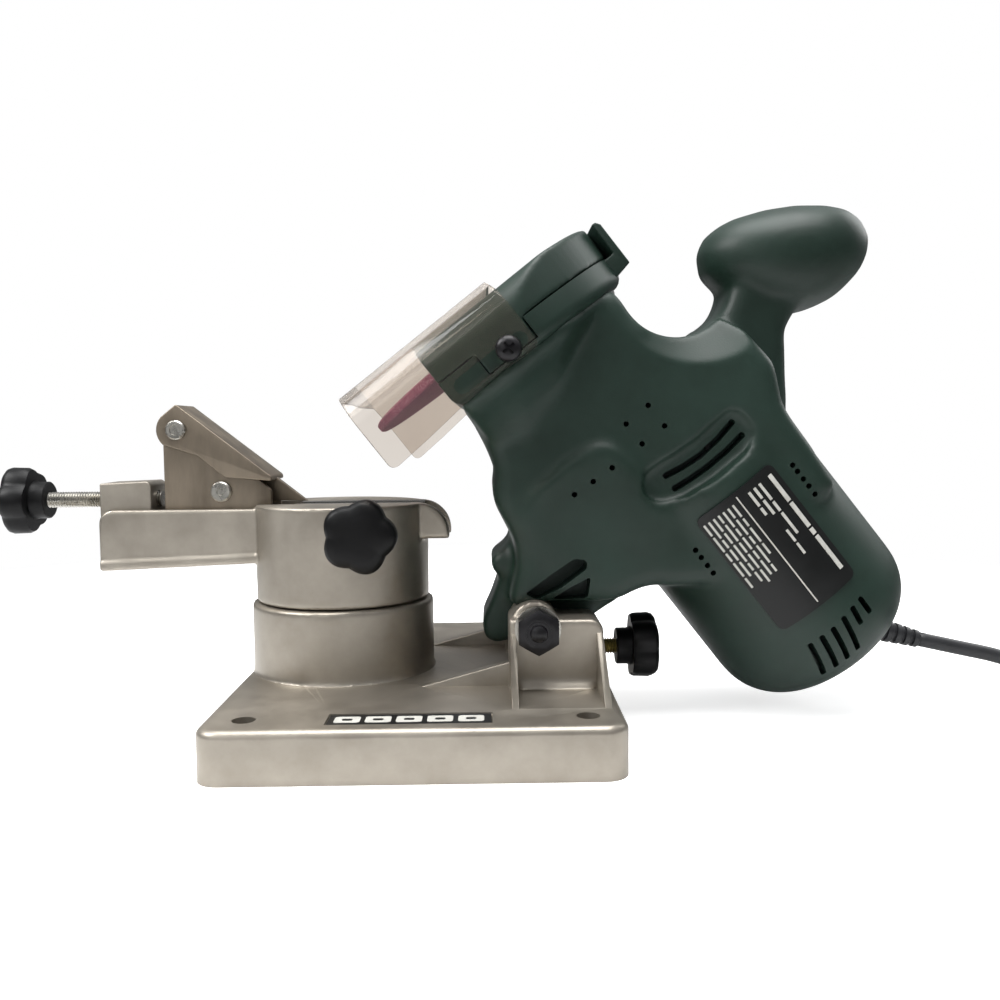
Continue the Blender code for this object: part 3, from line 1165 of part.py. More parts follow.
def motor_set(head):
    """The universal motor: stator, armature, commutator, brushes, fan, shaft, pulley and bearings."""
    place = (MOTOR_U, 0)
    bearing("motor_bearing_front", place, MOTOR_BORE_TOP_W + BEARING_WIDTH - 2 * GAP, head)
    bearing("motor_bearing_rear", place, REAR_BEARING_W, head)
    bore = MOTOR_RADIUS - MOTOR_WALL - GAP
    stator_top = STATOR_LOW_W + STATOR_LENGTH
    ring("motor_stator", "Z", place, bore, STATOR_BORE, STATOR_LOW_W, stator_top, "steel", 48, head)
    ring("motor_armature", "Z", place, ARMATURE_RADIUS, BEARING_BORE, STATOR_LOW_W, stator_top, "copper", parent=head)
    top = COMMUTATOR_LOW_W + COMMUTATOR_LENGTH
    ring("commutator", "Z", place, COMMUTATOR_RADIUS, BEARING_BORE, COMMUTATOR_LOW_W, top, "copper", 24, head)
    for name, side in (("brush_holder_front", -1), ("brush_holder_rear", 1)):
        middle = COMMUTATOR_LOW_W + COMMUTATOR_LENGTH / 2
        y = sorted((side * (COMMUTATOR_RADIUS + GAP), side * (bore - GAP)))
        u = (MOTOR_U - BRUSH_WIDTH / 2, MOTOR_U + BRUSH_WIDTH / 2)
        finish(block(name, u, y, (middle - BRUSH_WIDTH / 2, middle + BRUSH_WIDTH / 2), head), "copper")
    drive_top = DRIVE_LOW_W + (DRIVE_HEIGHT + PULLEY_WIDTH) / 2
    shaft = rod("motor_shaft", "Z", place, SHAFT_RADIUS, REAR_BEARING_W, drive_top, SMALL_SIDES, parent=head)
    finish(shaft, "steel")
    pulley("motor_pulley", place, SMALL_PULLEY_RADIUS, head)
    fan(head)


def fan(head):
    place = (MOTOR_U, 0)
    disc_top = FAN_LOW_W + FAN_DISC
    body = rod("cooling_fan", "Z", place, FAN_RADIUS, FAN_LOW_W, disc_top, parent=head)
    top = disc_top + FAN_BLADE_HEIGHT
    join(body, rod("fan_hub", "Z", place, FAN_HUB_RADIUS, FAN_LOW_W, top, 24, parent=head))
    for i in range(FAN_BLADES):
        blade = block(
            "fan_blade",
            (FAN_HUB_RADIUS - FAN_DISC, FAN_RADIUS - FAN_DISC),
            (-FAN_BLADE_THICKNESS / 2, FAN_BLADE_THICKNESS / 2),
            (disc_top - FAN_DISC / 2, top - FAN_DISC / 2),
        )
        turn = Matrix.Rotation(2 * math.pi * i / FAN_BLADES, 4, "Z")
        blade.data.transform(Matrix.Translation((MOTOR_U, 0, 0)) @ turn)
        blade.parent = head
        join(body, blade)
    cut(body, rod("fan_bore", "Z", place, BEARING_BORE, FAN_LOW_W - OVERRUN, top + OVERRUN, 24, parent=head))
    finish(body, "white")


def rating_plate(head):
    """A thin plate that follows the motor barrel's front."""
    inner = MOTOR_RADIUS + GAP
    outer = inner + PLATE_THICKNESS
    bend = math.degrees(math.asin(PLATE_WIDTH / 2 / MOTOR_RADIUS))
    centre = (MOTOR_U, 0)
    outline = arc(centre, outer, -90 - bend, -90 + bend, 13) + arc(centre, inner, -90 + bend, -90 - bend, 13)
    finish(slab("rating_plate", outline, "Z", PLATE_TOP_W - PLATE_LENGTH, PLATE_TOP_W, head), "black")


def smooth_route(points, step):
    """Points every step along a smooth curve through the given ones."""
    knots = [Vector(p) for p in points]
    knots = [2 * knots[0] - knots[1], *knots, 2 * knots[-1] - knots[-2]]
    out = [knots[1]]
    for a, b, c, d in zip(knots, knots[1:], knots[2:], knots[3:]):
        count = max(1, round((c - b).length / step))
        for i in range(1, count + 1):
            t = i / count
            out.append(
                (2 * b + (c - a) * t + (2 * a - 5 * b + 4 * c - d) * t ** 2 + (3 * b - a - 3 * c + d) * t ** 3) / 2
            )
    return out


def tube(name, points, radius, detail, look):
    """A round cord along the given points, with closed ends."""
    curve = bpy.data.curves.new(name, "CURVE")
    curve.dimensions = "3D"
    curve.bevel_depth = radius
    curve.bevel_resolution = detail
    curve.use_fill_caps = True
    line = curve.splines.new("POLY")
    line.points.add(len(points) - 1)
    for point, place in zip(line.points, points):
        point.co = (*place, 1)
    made = bpy.data.objects.new(name, curve)
    PIECES.objects.link(made)
    material = bpy.data.materials.new(name)
    material.use_nodes = True
    shader = material.node_tree.nodes["Principled BSDF"]
    shader.inputs["Base Color"].default_value = FINISHES[look][0]
    curve.materials.append(material)
    return made


def coil_points():
    """The cord's turns: in along the floor, up a layer at the middle, and out again above."""
    loops = COIL_LOOP_COUNT
    half = loops * COIL_POINTS
    out = []
    for i in range(2 * half + 1):
        turn = i / COIL_POINTS
        depth = turn if i <= half else 2 * loops - turn
        climb = min(1, max(0, (i - half + COIL_POINTS / 4) / (COIL_POINTS / 2)))
        lift = COIL_LAYER * (3 * climb ** 2 - 2 * climb ** 3)
        radius = COIL_OUTER_RADIUS - COIL_PITCH * depth
        angle = 2 * math.pi * turn - math.pi / 2
        x = COIL_CENTRE_X + radius * math.cos(angle)
        y = COIL_CENTRE_Y + radius * math.sin(angle)
        out.append(Vector((x, y, CORD_RADIUS + lift)))
    return out


def least_gap(points, radius, skip):
    """The least clear space between stretches of a cord that lie more than skip points apart."""
    best = math.inf
    for i, first in enumerate(points):
        for second in points[i + skip:]:
            best = min(best, (first - second).length)
    return best - 2 * radius


def cord_and_plug():
    wound = coil_points()
    first = wound[0]
    lead = Vector((-2 * CORD_RADIUS, 0, 0))
    tail = Vector((COIL_TAIL, 0, 0))
    coil = [first + lead, *wound, wound[-1] + tail]
    print(f"least gap of the coil to itself: {least_gap(coil, CORD_RADIUS, COIL_POINTS // 2) / MM:.2f} mm")
    tube("cord_coil", coil, CORD_RADIUS, 1, "black")
    joint = coil[0] + Vector((-GAP, 0, 0))
    route = [Vector(p) for p in CORD_ROUTE[:-1]] + [joint + lead / 2, joint]
    tube("cord_run", smooth_route(route, CORD_STEP), CORD_RADIUS, 2, "black")
    relief = slanted_rod("strain_relief", RELIEF_START, RELIEF_END, RELIEF_RADIUS, 0, RELIEF_RADIUS * 0.95)
    finish(relief, "black")
    plug(coil[-1] + Vector((GAP, 0, 0)))


def plug(mouth):
    """A two-pin plug lying at the cord's free end."""
    half = PLUG_HEIGHT / 2
    low = 0
    y = (mouth.y - PLUG_WIDTH / 2, mouth.y + PLUG_WIDTH / 2)
    body = block("power_plug", (mouth.x, mouth.x + PLUG_LENGTH), y, (low, low + PLUG_HEIGHT))
    settle(soften(body, PLUG_ROUND, 3, 60))
    face = mouth.x + PLUG_LENGTH
    for side in (-1, 1):
        place = (mouth.y + side * PLUG_PIN_SPACING / 2, low + half)
        join(body, rod("plug_pin", "X", place, PLUG_PIN_RADIUS, face - OVERRUN, face + PIN_LENGTH, SMALL_SIDES))
    finish(body, "black")


def lean_back(head):
    """The head is built upright in its own frame, and leans back once all of its pieces are whole."""
    for item in head.children:
        if item.name in PIECES.objects:
            settle(item)
    head.matrix_world = head_matrix()


def build():
    head = empty("head_pivot")
    base_casting()
    base_label()
    hinge()
    swivel()
    vise_table()
    jaws()
    screws_and_knobs()
    stop_block()
    stop_carriage()
    tooth_stop()
    housing(head)
    switch(head)
    lid(head)
    guard(head)
    spindle_set(head)
    drive_belt(head)
    motor_set(head)
    rating_plate(head)
    lean_back(head)
    cord_and_plug()


build()
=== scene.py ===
import math

import bmesh
import bpy
from mathutils import Matrix, Vector


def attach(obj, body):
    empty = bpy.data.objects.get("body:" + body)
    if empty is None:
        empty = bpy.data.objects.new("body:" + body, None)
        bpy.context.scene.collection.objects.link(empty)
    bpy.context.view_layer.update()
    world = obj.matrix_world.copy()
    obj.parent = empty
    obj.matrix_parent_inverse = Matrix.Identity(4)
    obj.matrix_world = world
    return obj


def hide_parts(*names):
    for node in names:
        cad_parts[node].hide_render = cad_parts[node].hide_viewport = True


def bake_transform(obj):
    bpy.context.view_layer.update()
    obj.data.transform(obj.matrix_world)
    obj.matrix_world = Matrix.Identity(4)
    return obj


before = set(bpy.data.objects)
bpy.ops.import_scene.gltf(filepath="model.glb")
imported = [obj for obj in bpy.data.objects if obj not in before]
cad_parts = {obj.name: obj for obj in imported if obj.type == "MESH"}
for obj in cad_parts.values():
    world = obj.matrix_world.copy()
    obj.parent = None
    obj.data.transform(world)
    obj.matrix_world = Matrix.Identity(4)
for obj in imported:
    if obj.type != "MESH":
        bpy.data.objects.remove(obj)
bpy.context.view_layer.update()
mm = 0.001
print("frame loaded:", len(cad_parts), "nodes")

# the head leans back about the hinge; its pieces are drawn along the wheel (u) and up the motor axis (w)
headTilt = math.radians(38)
hingeSpot = (40, 38)
headMatrix = Matrix.Translation((hingeSpot[0] * mm, 0, hingeSpot[1] * mm)) @ Matrix.Rotation(-headTilt, 4, "Y")
bothSides = (-1, 1)  # front and rear
wheelAxis = (47.5, 0)
drumAxis = (-32.5, 0)
# what counts as level and as a crease where a rim is picked out, and how near points weld
picking = {"level": 0.01, "crease": 0.6, "rim": 0.8, "weld": 0.001}
axisTurn = {"X": Matrix.Rotation(math.pi / 2, 4, "Y"), "Y": Matrix.Rotation(-math.pi / 2, 4, "X"), "Z": Matrix()}


# mesh tools, all in millimetres until a piece is kept
def bmOf(piece):
    bm = bmesh.new()
    bm.from_mesh(piece.data)
    return bm


def loose(name, bm):
    # the mesh as an object, with its faces turned outwards
    mesh = bpy.data.meshes.new(name)
    bmesh.ops.recalc_face_normals(bm, faces=bm.faces)
    bm.to_mesh(mesh)
    bm.free()
    piece = bpy.data.objects.new(name, mesh)
    bpy.context.scene.collection.objects.link(piece)
    return piece


def drop(*pieces):
    for piece in pieces:
        bpy.data.objects.remove(piece, do_unlink=True)


def applied(piece):
    # bakes the modifiers into the mesh
    bpy.context.view_layer.update()
    graph = bpy.context.evaluated_depsgraph_get()
    mesh = bpy.data.meshes.new_from_object(piece.evaluated_get(graph))
    piece.modifiers.clear()
    piece.data = mesh
    return piece


def toAxis(axis, first, second, along):
    return {"X": (along, first, second), "Y": (first, along, second), "Z": (first, second, along)}[axis]


def sideSpan(side, near, far):
    return sorted((side * near, side * far))


def rounded(bm, lines, offset, steps):
    bmesh.ops.bevel(bm, geom=lines, offset=offset, segments=steps, profile=0.5, affect="EDGES", material=-1)


def plate(name, outline, axis, low, high, edge=0, corner=0, steps=3, rims="both"):
    # an outline drawn square to an axis, pulled to a thickness;
    # edge rounds its rims and corner its upright edges
    bm = bmesh.new()
    face = bm.faces.new([bm.verts.new(toAxis(axis, *point, low)) for point in outline])
    grown = bmesh.ops.extrude_face_region(bm, geom=[face])
    raised = [item for item in grown["geom"] if isinstance(item, bmesh.types.BMVert)]
    bmesh.ops.translate(bm, verts=raised, vec=toAxis(axis, 0, 0, high - low))
    bmesh.ops.recalc_face_normals(bm, faces=bm.faces)
    index = "XYZ".index(axis)

    def creases(upright):
        level = picking["level"]
        rises = [(line, abs(line.verts[0].co[index] - line.verts[1].co[index])) for line in bm.edges]
        lines = [line for line, rise in rises if (rise > level if upright else rise < level)]
        return [line for line in lines if line.calc_face_angle(0) > picking["crease"]]

    if corner:
        rounded(bm, creases(True), corner, steps + 1)
    if edge:
        levels = {"both": (low, high), "low": (low,), "high": (high,)}[rims]
        heights = [(line, line.verts[0].co[index]) for line in creases(False)]
        chosen = [line for line, height in heights if min(abs(height - level) for level in levels) < picking["level"]]
        rounded(bm, chosen, edge, steps)
    return loose(name, bm)


def box(name, low, high, edge=0, steps=3):
    outline = [(low[0], low[1]), (high[0], low[1]), (high[0], high[1]), (low[0], high[1])]
    return plate(name, outline, "Z", low[2], high[2], edge, edge, steps)


def sideBox(name, side, low, high, edge=0):
    # a box in front or behind, drawn as for the rear
    near, far = sideSpan(side, low[1], high[1])
    return box(name, (low[0], near, low[2]), (high[0], far, high[2]), edge)


def bar(name, axis, place, radius, low, high, edge=0, sides=48, endRadius=None):
    # a round bar along an axis, with rounded rims
    spot = Vector(toAxis(axis, *place, (low + high) / 2))
    bm = bmesh.new()
    bmesh.ops.create_cone(
        bm, cap_ends=True, segments=sides, radius1=radius, radius2=radius if endRadius is None else endRadius,
        depth=high - low, matrix=Matrix.Translation(spot) @ axisTurn[axis],
    )
    if edge:
        rounded(bm, [line for line in bm.edges if line.calc_face_angle(0) > picking["rim"]], edge, 3)
    return loose(name, bm)


def turnedPiece(name, profile, axis, place, sides=64):
    # profile is (radius, height) pairs, spun all the way round
    bm = bmesh.new()
    points = [bm.verts.new((radius, 0, height)) for radius, height in profile]
    edges = [bm.edges.new(pair) for pair in zip(points, points[1:])]
    bmesh.ops.spin(
        bm, geom=points + edges, cent=(0, 0, 0), axis=(0, 0, 1), angle=2 * math.pi, steps=sides, use_merge=True,
    )
    bmesh.ops.remove_doubles(bm, verts=bm.verts, dist=picking["weld"])
    bmesh.ops.transform(bm, matrix=Matrix.Translation(place) @ axisTurn[axis], verts=bm.verts)
    return loose(name, bm)


def faced(piece, side, place):
    # turns a piece that was made facing the rear to its side, and puts it in place
    if side < 0:
        piece.data.transform(Matrix.Rotation(math.pi, 4, "Z"))
    piece.data.transform(Matrix.Translation(place))
    return piece


def swelled(name, layers, axis):
    # rings of (height, outline) along an axis, skinned from one to the next
    bm = bmesh.new()
    rings = [[bm.verts.new(toAxis(axis, *point, height)) for point in outline] for height, outline in layers]
    for ring, following in zip(rings, rings[1:]):
        for near, far in zip(zip(ring, ring[1:] + ring[:1]), zip(following, following[1:] + following[:1])):
            bm.faces.new((*near, *far[::-1]))
    bm.faces.new(rings[0])
    bm.faces.new(rings[-1])
    return loose(name, bm)


def shrunk(outline, share, middle=None):
    # the outline drawn in towards its middle
    across, up = middle or [sum(values) / len(outline) for values in zip(*outline)]
    return [(across + (first - across) * share, up + (second - up) * share) for first, second in outline]


def gather(name, parts):
    # several loose shapes as one, not joined where they cross
    bm = bmesh.new()
    for part in parts:
        bm.from_mesh(part.data)
    drop(*parts)
    return loose(name, bm)


def melt(name, parts, voxel, passes):
    # overlapping shapes flow into one moulded or cast form
    piece = gather(name, parts)
    skin = piece.modifiers.new("skin", "REMESH")
    skin.mode = "VOXEL"
    skin.voxel_size = voxel
    soft = piece.modifiers.new("soft", "SMOOTH")
    soft.factor = 0.5
    soft.iterations = passes
    return applied(piece)


def carve(piece, cutters, how="DIFFERENCE"):
    # cuts away, joins on or keeps what is shared, and drops the cutters
    for cutter in cutters:
        step = piece.modifiers.new("carve", "BOOLEAN")
        step.operation = how
        step.solver = "MANIFOLD"
        step.object = cutter
    applied(piece)
    drop(*cutters)
    return piece


def keep(piece, body, material, replaced=(), head=False, smooth=38):
    # scales a finished piece to metres, puts it in place and ties it to its body
    matrix = Matrix.Scale(mm, 4)
    if head:
        matrix = headMatrix @ matrix
    piece.data.transform(matrix)
    piece.data.materials.clear()
    piece.data.materials.append(material)
    piece.data.shade_smooth()
    piece.data.set_sharp_from_angle(angle=math.radians(smooth))
    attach(piece, body)
    if replaced:
        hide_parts(*replaced)
    return piece


def arc(centre, radius, start, end, count):
    # points on a round stretch, from one angle to the other in degrees
    step = math.radians(end - start) / (count - 1)
    angles = [math.radians(start) + i * step for i in range(count)]
    return [(centre[0] + radius * math.cos(angle), centre[1] + radius * math.sin(angle)) for angle in angles]


# materials
def colour(text):
    # sRGB hex to linear
    parts = [int(text[i:i + 2], 16) / 255 for i in (1, 3, 5)]
    return (*[part / 12.92 if part <= 0.04045 else ((part + 0.055) / 1.055) ** 2.4 for part in parts], 1)


def addNode(tree, kind, settings=None, links=None):
    # settings are values of sockets or of the node itself
    node = tree.nodes.new(kind)
    for name, value in (settings or {}).items():
        if name in node.inputs:
            node.inputs[name].default_value = value
        else:
            setattr(node, name, value)
    for name, socket in (links or {}).items():
        tree.links.new(socket, node.inputs[name])
    return node


def finishOf(name, look):
    # patches of colour, a fine grain in the bump, and a roughness that wanders with the patches
    material = bpy.data.materials.new(name)
    material.use_nodes = True
    tree = material.node_tree
    shader = tree.nodes["Principled BSDF"]
    where = addNode(tree, "ShaderNodeTexCoord")
    stretch = look.get("stretch", (1, 1, 1))
    mapped = addNode(tree, "ShaderNodeMapping", {"Scale": stretch}, {"Vector": where.outputs["Object"]})
    patches = addNode(
        tree, "ShaderNodeTexNoise", {"Scale": 1 / (look["patch"] * mm), "Detail": 4, "Roughness": 0.6},
        {"Vector": mapped.outputs["Vector"]},
    )
    tint = addNode(tree, "ShaderNodeValToRGB", {}, {"Fac": patches.outputs["Fac"]})
    tint.color_ramp.elements[0].position = 0.3
    tint.color_ramp.elements[0].color = colour(look["dark"])
    tint.color_ramp.elements[1].position = 0.7
    tint.color_ramp.elements[1].color = colour(look["light"])
    base = tint.outputs["Color"]
    grain = addNode(
        tree, "ShaderNodeTexNoise", {"Scale": 1 / (look["grain"] * mm), "Detail": 2},
        {"Vector": mapped.outputs["Vector"]},
    )
    if "fleck" in look:
        spots = addNode(
            tree, "ShaderNodeMapRange", {"From Min": 0.55, "From Max": 0.7}, {"Value": grain.outputs["Fac"]},
        )
        mixed = addNode(tree, "ShaderNodeMix", {"data_type": "RGBA"}, {"Factor": spots.outputs["Result"]})
        plainColour, fleckColour = [socket for socket in mixed.inputs if socket.type == "RGBA"]
        tree.links.new(base, plainColour)
        fleckColour.default_value = colour(look["fleck"])
        base = next(socket for socket in mixed.outputs if socket.type == "RGBA")
    tree.links.new(base, shader.inputs["Base Color"])
    low, high = look["rough"]
    rough = addNode(
        tree, "ShaderNodeMapRange", {"From Min": 0.3, "From Max": 0.7, "To Min": low, "To Max": high},
        {"Value": patches.outputs["Fac"]},
    )
    tree.links.new(rough.outputs["Result"], shader.inputs["Roughness"])
    bump = addNode(
        tree, "ShaderNodeBump", {"Strength": look["bump"], "Distance": look["grain"] * mm / 4},
        {"Height": grain.outputs["Fac"]},
    )
    tree.links.new(bump.outputs["Normal"], shader.inputs["Normal"])
    shader.inputs["Metallic"].default_value = look.get("metal", 0)
    for socket, value in look.get("sockets", {}).items():
        shader.inputs[socket].default_value = value
    return material


# sand-textured glass-filled nylon: dark bottle green, a soft sheen along its edges
mouldedNylon = finishOf("mouldedNylon", {
    "dark": "#16271f", "light": "#1e322a", "patch": 35, "grain": 0.5, "rough": (0.42, 0.52), "bump": 0.25,
    "sockets": {"Specular IOR Level": 0.38},
})
# tumbled aluminium die casting: warm grey satin with faint clouds
satinCasting = finishOf("satinCasting", {
    "dark": "#958e83", "light": "#aba499", "patch": 18, "grain": 0.45,
    "rough": (0.34, 0.46), "bump": 0.22, "metal": 0.8,
})
# rolled steel sheet: darker and browner than the casting, drawn along the rolling direction
stampedSteel = finishOf("stampedSteel", {
    "dark": "#756b5e", "light": "#8f8475", "patch": 9, "grain": 0.3,
    "rough": (0.34, 0.5), "bump": 0.2, "metal": 0.85,
    "stretch": (1, 1, 0.25),
})
# zinc-plated steel: pale, smooth and slightly clouded
zincPlate = finishOf("zincPlate", {
    "dark": "#9c9a94", "light": "#c3c0b8", "patch": 5, "grain": 0.2,
    "rough": (0.22, 0.36), "bump": 0.08, "metal": 1,
})
# yellow-passivated zinc: straw coloured
yellowZinc = finishOf("yellowZinc", {
    "dark": "#8f8556", "light": "#b3a878", "patch": 4, "grain": 0.2,
    "rough": (0.25, 0.4), "bump": 0.08, "metal": 1,
})
# ground tool steel: fine straight grinding marks
groundSteel = finishOf("groundSteel", {
    "dark": "#8d8b86", "light": "#b5b2ac", "patch": 6, "grain": 0.25,
    "rough": (0.2, 0.34), "bump": 0.2, "metal": 1,
    "stretch": (0.08, 1, 1),
})
# black phenolic knobs: nearly black, low sheen
blackPhenolic = finishOf("blackPhenolic", {
    "dark": "#080809", "light": "#0d0d0e", "patch": 8, "grain": 0.4, "rough": (0.36, 0.46), "bump": 0.15,
    "sockets": {"Specular IOR Level": 0.2},
})
# black-oxide steel: bluish black with a dull metal glint
blackOxide = finishOf("blackOxide", {
    "dark": "#131214", "light": "#1d1c1f", "patch": 5, "grain": 0.25,
    "rough": (0.3, 0.42), "bump": 0.12, "metal": 0.4,
})
# vitrified pink aluminium oxide: coarse matt grit with pale and dark grains
pinkAbrasive = finishOf("pinkAbrasive", {
    "dark": "#7d4c61", "light": "#966075", "patch": 3, "grain": 0.6,
    "rough": (0.8, 0.95), "bump": 0.8, "fleck": "#ac8492",
})
# clear polycarbonate, faintly warm, slightly scuffed
clearPolycarbonate = finishOf("clearPolycarbonate", {
    "dark": "#dbd3cb", "light": "#dfd8d0", "patch": 20, "grain": 1.5, "rough": (0.02, 0.04), "bump": 0.0,
    "sockets": {
        "Transmission Weight": 1.0, "IOR": 1.03, "Coat Weight": 0.6, "Coat IOR": 1.45, "Coat Roughness": 0.08,
    },
})
# cut edges of the clear sheet: they carry light along the sheet and look dark
polycarbonateEdge = finishOf("polycarbonateEdge", {
    "dark": "#5f5a52", "light": "#7a746b", "patch": 20, "grain": 1.5, "rough": (0.2, 0.3), "bump": 0.0,
    "sockets": {"Transmission Weight": 0.6, "IOR": 1.1},
})
# soft PVC: charcoal, faint sheen
blackPvc = finishOf("blackPvc", {
    "dark": "#202123", "light": "#2a2b2e", "patch": 10, "grain": 0.5, "rough": (0.42, 0.55), "bump": 0.2,
})
# polyester label film: satin black
labelFilm = finishOf("labelFilm", {
    "dark": "#0f1010", "light": "#151616", "patch": 12, "grain": 0.8, "rough": (0.36, 0.44), "bump": 0.05,
    "sockets": {"Specular IOR Level": 0.3},
})
# screen-printed white ink: flat and slightly grey
whiteInk = finishOf("whiteInk", {
    "dark": "#b9b8b1", "light": "#cac9c2", "patch": 4, "grain": 0.3, "rough": (0.5, 0.6), "bump": 0.05,
})
# neoprene: matt black, a little dusty
neoprene = finishOf("neoprene", {
    "dark": "#161616", "light": "#202020", "patch": 6, "grain": 0.5, "rough": (0.65, 0.8), "bump": 0.3,
})
# varnished copper wire: reddish brown with a dull glint
varnishedCopper = finishOf("varnishedCopper", {
    "dark": "#7a3f1f", "light": "#a8602f", "patch": 3, "grain": 0.3,
    "rough": (0.25, 0.4), "bump": 0.3, "metal": 0.9,
})
# lamination stack: dull blue-grey electrical steel with fine layers across the motor axis
laminatedSteel = finishOf("laminatedSteel", {
    "dark": "#55585a", "light": "#6f7274", "patch": 5, "grain": 0.4,
    "rough": (0.4, 0.55), "bump": 0.5, "metal": 0.9,
})
# dark grey nylon of the fan: matt, nearly black
greyNylon = finishOf("greyNylon", {
    "dark": "#161717", "light": "#1e1f1f", "patch": 10, "grain": 0.4, "rough": (0.4, 0.5), "bump": 0.1,
})
print("materials made")

nodeFinish = {
    satinCasting: ("base_casting", "vise_table", "stop_block"),
    stampedSteel: ("stop_carriage", "tooth_stop"),
    zincPlate: (
        "hinge_washer_front", "hinge_washer_rear", "hinge_sleeve", "swivel_washer", "swivel_bolt",
        "clamp_screw", "stop_screw", "carriage_screw", "pawl_pin", "wheel_nut", "housing_screw_spindle",
        "housing_screw_side", "housing_screw_hinge", "housing_screw_handle",
    ),
    yellowZinc: ("depth_screw", "brush_holder_front", "brush_holder_rear"),
    groundSteel: (
        "moving_jaw", "rear_jaw", "spindle", "wheel_flange_inner", "wheel_flange_outer", "spindle_bearing_lower",
        "spindle_bearing_upper", "motor_bearing_front", "motor_bearing_rear", "motor_shaft", "spindle_pulley",
    ),
    blackPhenolic: ("clamp_knob", "stop_knob", "depth_knob", "switch_body", "switch_rocker", "power_plug"),
    blackOxide: ("hinge_nut", "hinge_bolt", "guard_screw_front", "guard_screw_rear", "motor_pulley"),
    pinkAbrasive: ("grinding_wheel",),
    clearPolycarbonate: ("wheel_guard",),
    blackPvc: ("strain_relief", "cord_run", "cord_coil"),
    labelFilm: ("base_label", "rating_plate"),
    neoprene: ("drive_belt",),
    varnishedCopper: ("motor_armature", "commutator"),
    laminatedSteel: ("motor_stator",),
    greyNylon: ("cooling_fan",),
    mouldedNylon: ("housing_front", "housing_rear", "wheel_lid"),
}
for material, names in nodeFinish.items():
    for name in names:
        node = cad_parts[name]
        node.data.materials.clear()
        node.data.materials.append(material)
        node.data.set_sharp_from_angle(angle=math.radians(38))


# camera
camera = {"place": (23.5, -382.4, 106.8), "turn": (85.9956, 0.5985, -0.6893), "lens": 36}
eye = bpy.data.cameras.new("camera")
eye.lens = camera["lens"]
eye.sensor_width = 36
eye.clip_start = 0.01
eyePiece = bpy.data.objects.new("camera", eye)
eyePiece.location = [value * mm for value in camera["place"]]
eyePiece.rotation_euler = [math.radians(value) for value in camera["turn"]]
bpy.context.scene.collection.objects.link(eyePiece)
bpy.context.scene.camera = eyePiece


# cord: the same points as the CAD cord, in metres
cordSize = {
    "radius": 2.8, "step": 4.0, "coilCentre": (300, 33.8), "coilRadius": 46, "pitch": 6.2, "layer": 6.2,
    "loops": 4, "points": 36, "tail": 43, "tailSteps": 4,
    "route": [(188.2, 0, 24.4), (205, 0, 20.6), (222, 0, 16.6), (238, -2, 10.6), (256, -5, 4.6), (274, -9, 2.8)],
}


def coilPath():
    # winds in on the bench, climbs one layer and winds out again
    half = cordSize["loops"] * cordSize["points"]
    path = []
    for step in range(2 * half + 1):
        turns = step / cordSize["points"]
        depth = turns if step <= half else 2 * cordSize["loops"] - turns
        climb = min(1, max(0, (step - half + cordSize["points"] / 4) / (cordSize["points"] / 2)))
        lift = cordSize["layer"] * (3 * climb ** 2 - 2 * climb ** 3)
        radius = cordSize["coilRadius"] - cordSize["pitch"] * depth
        angle = 2 * math.pi * turns - math.pi / 2
        path.append(Vector((
            cordSize["coilCentre"][0] + radius * math.cos(angle),
            cordSize["coilCentre"][1] + radius * math.sin(angle),
            cordSize["radius"] + lift,
        )))
    return path


def smoothPath(points, step):
    # a smooth line through the points, in steps of about one length
    knots = [Vector(point) for point in points]
    knots = [2 * knots[0] - knots[1], *knots, 2 * knots[-1] - knots[-2]]
    path = [knots[1]]
    for before, start, end, after in zip(knots, knots[1:], knots[2:], knots[3:]):
        count = max(1, round((end - start).length / step))
        for i in range(1, count + 1):
            share = i / count
            bend = (2 * before - 5 * start + 4 * end - after) * share ** 2
            twist = (3 * start - before - 3 * end + after) * share ** 3
            path.append((2 * start + (end - before) * share + bend + twist) / 2)
    return path


wound = coilPath()
lead = Vector((-2 * cordSize["radius"], 0, 0))
joint = wound[0] + lead
runPath = smoothPath(cordSize["route"] + [joint + lead / 2, joint], cordSize["step"])
tailSteps = [cordSize["tail"] * step / cordSize["tailSteps"] for step in range(1, cordSize["tailSteps"] + 1)]
cordPath = runPath + wound + [wound[-1] + Vector((reach, 0, 0)) for reach in tailSteps]
curve = bpy.data.curves.new("powerCord", "CURVE")
curve.dimensions = "3D"
curve.bevel_depth = cordSize["radius"]
curve.bevel_resolution = 6
curve.use_fill_caps = True
line = curve.splines.new("POLY")
line.points.add(len(cordPath) - 1)
for point, place in zip(line.points, cordPath):
    point.co = (*place, 1)
tube = bpy.data.objects.new("powerCordCurve", curve)
bpy.context.scene.collection.objects.link(tube)
bpy.context.view_layer.update()
tubeMesh = bpy.data.meshes.new_from_object(tube.evaluated_get(bpy.context.evaluated_depsgraph_get()))
drop(tube)
powerCord = bpy.data.objects.new("powerCord", tubeMesh)
bpy.context.scene.collection.objects.link(powerCord)
bm = bmOf(powerCord)
bmesh.ops.remove_doubles(bm, verts=bm.verts, dist=picking["weld"])
bm.to_mesh(powerCord.data)
bm.free()
powerCord.data.transform(Matrix.Scale(mm, 4))
powerCord.data.materials.append(blackPvc)
powerCord.data.shade_smooth()
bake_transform(powerCord)
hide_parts("cord_run", "cord_coil")

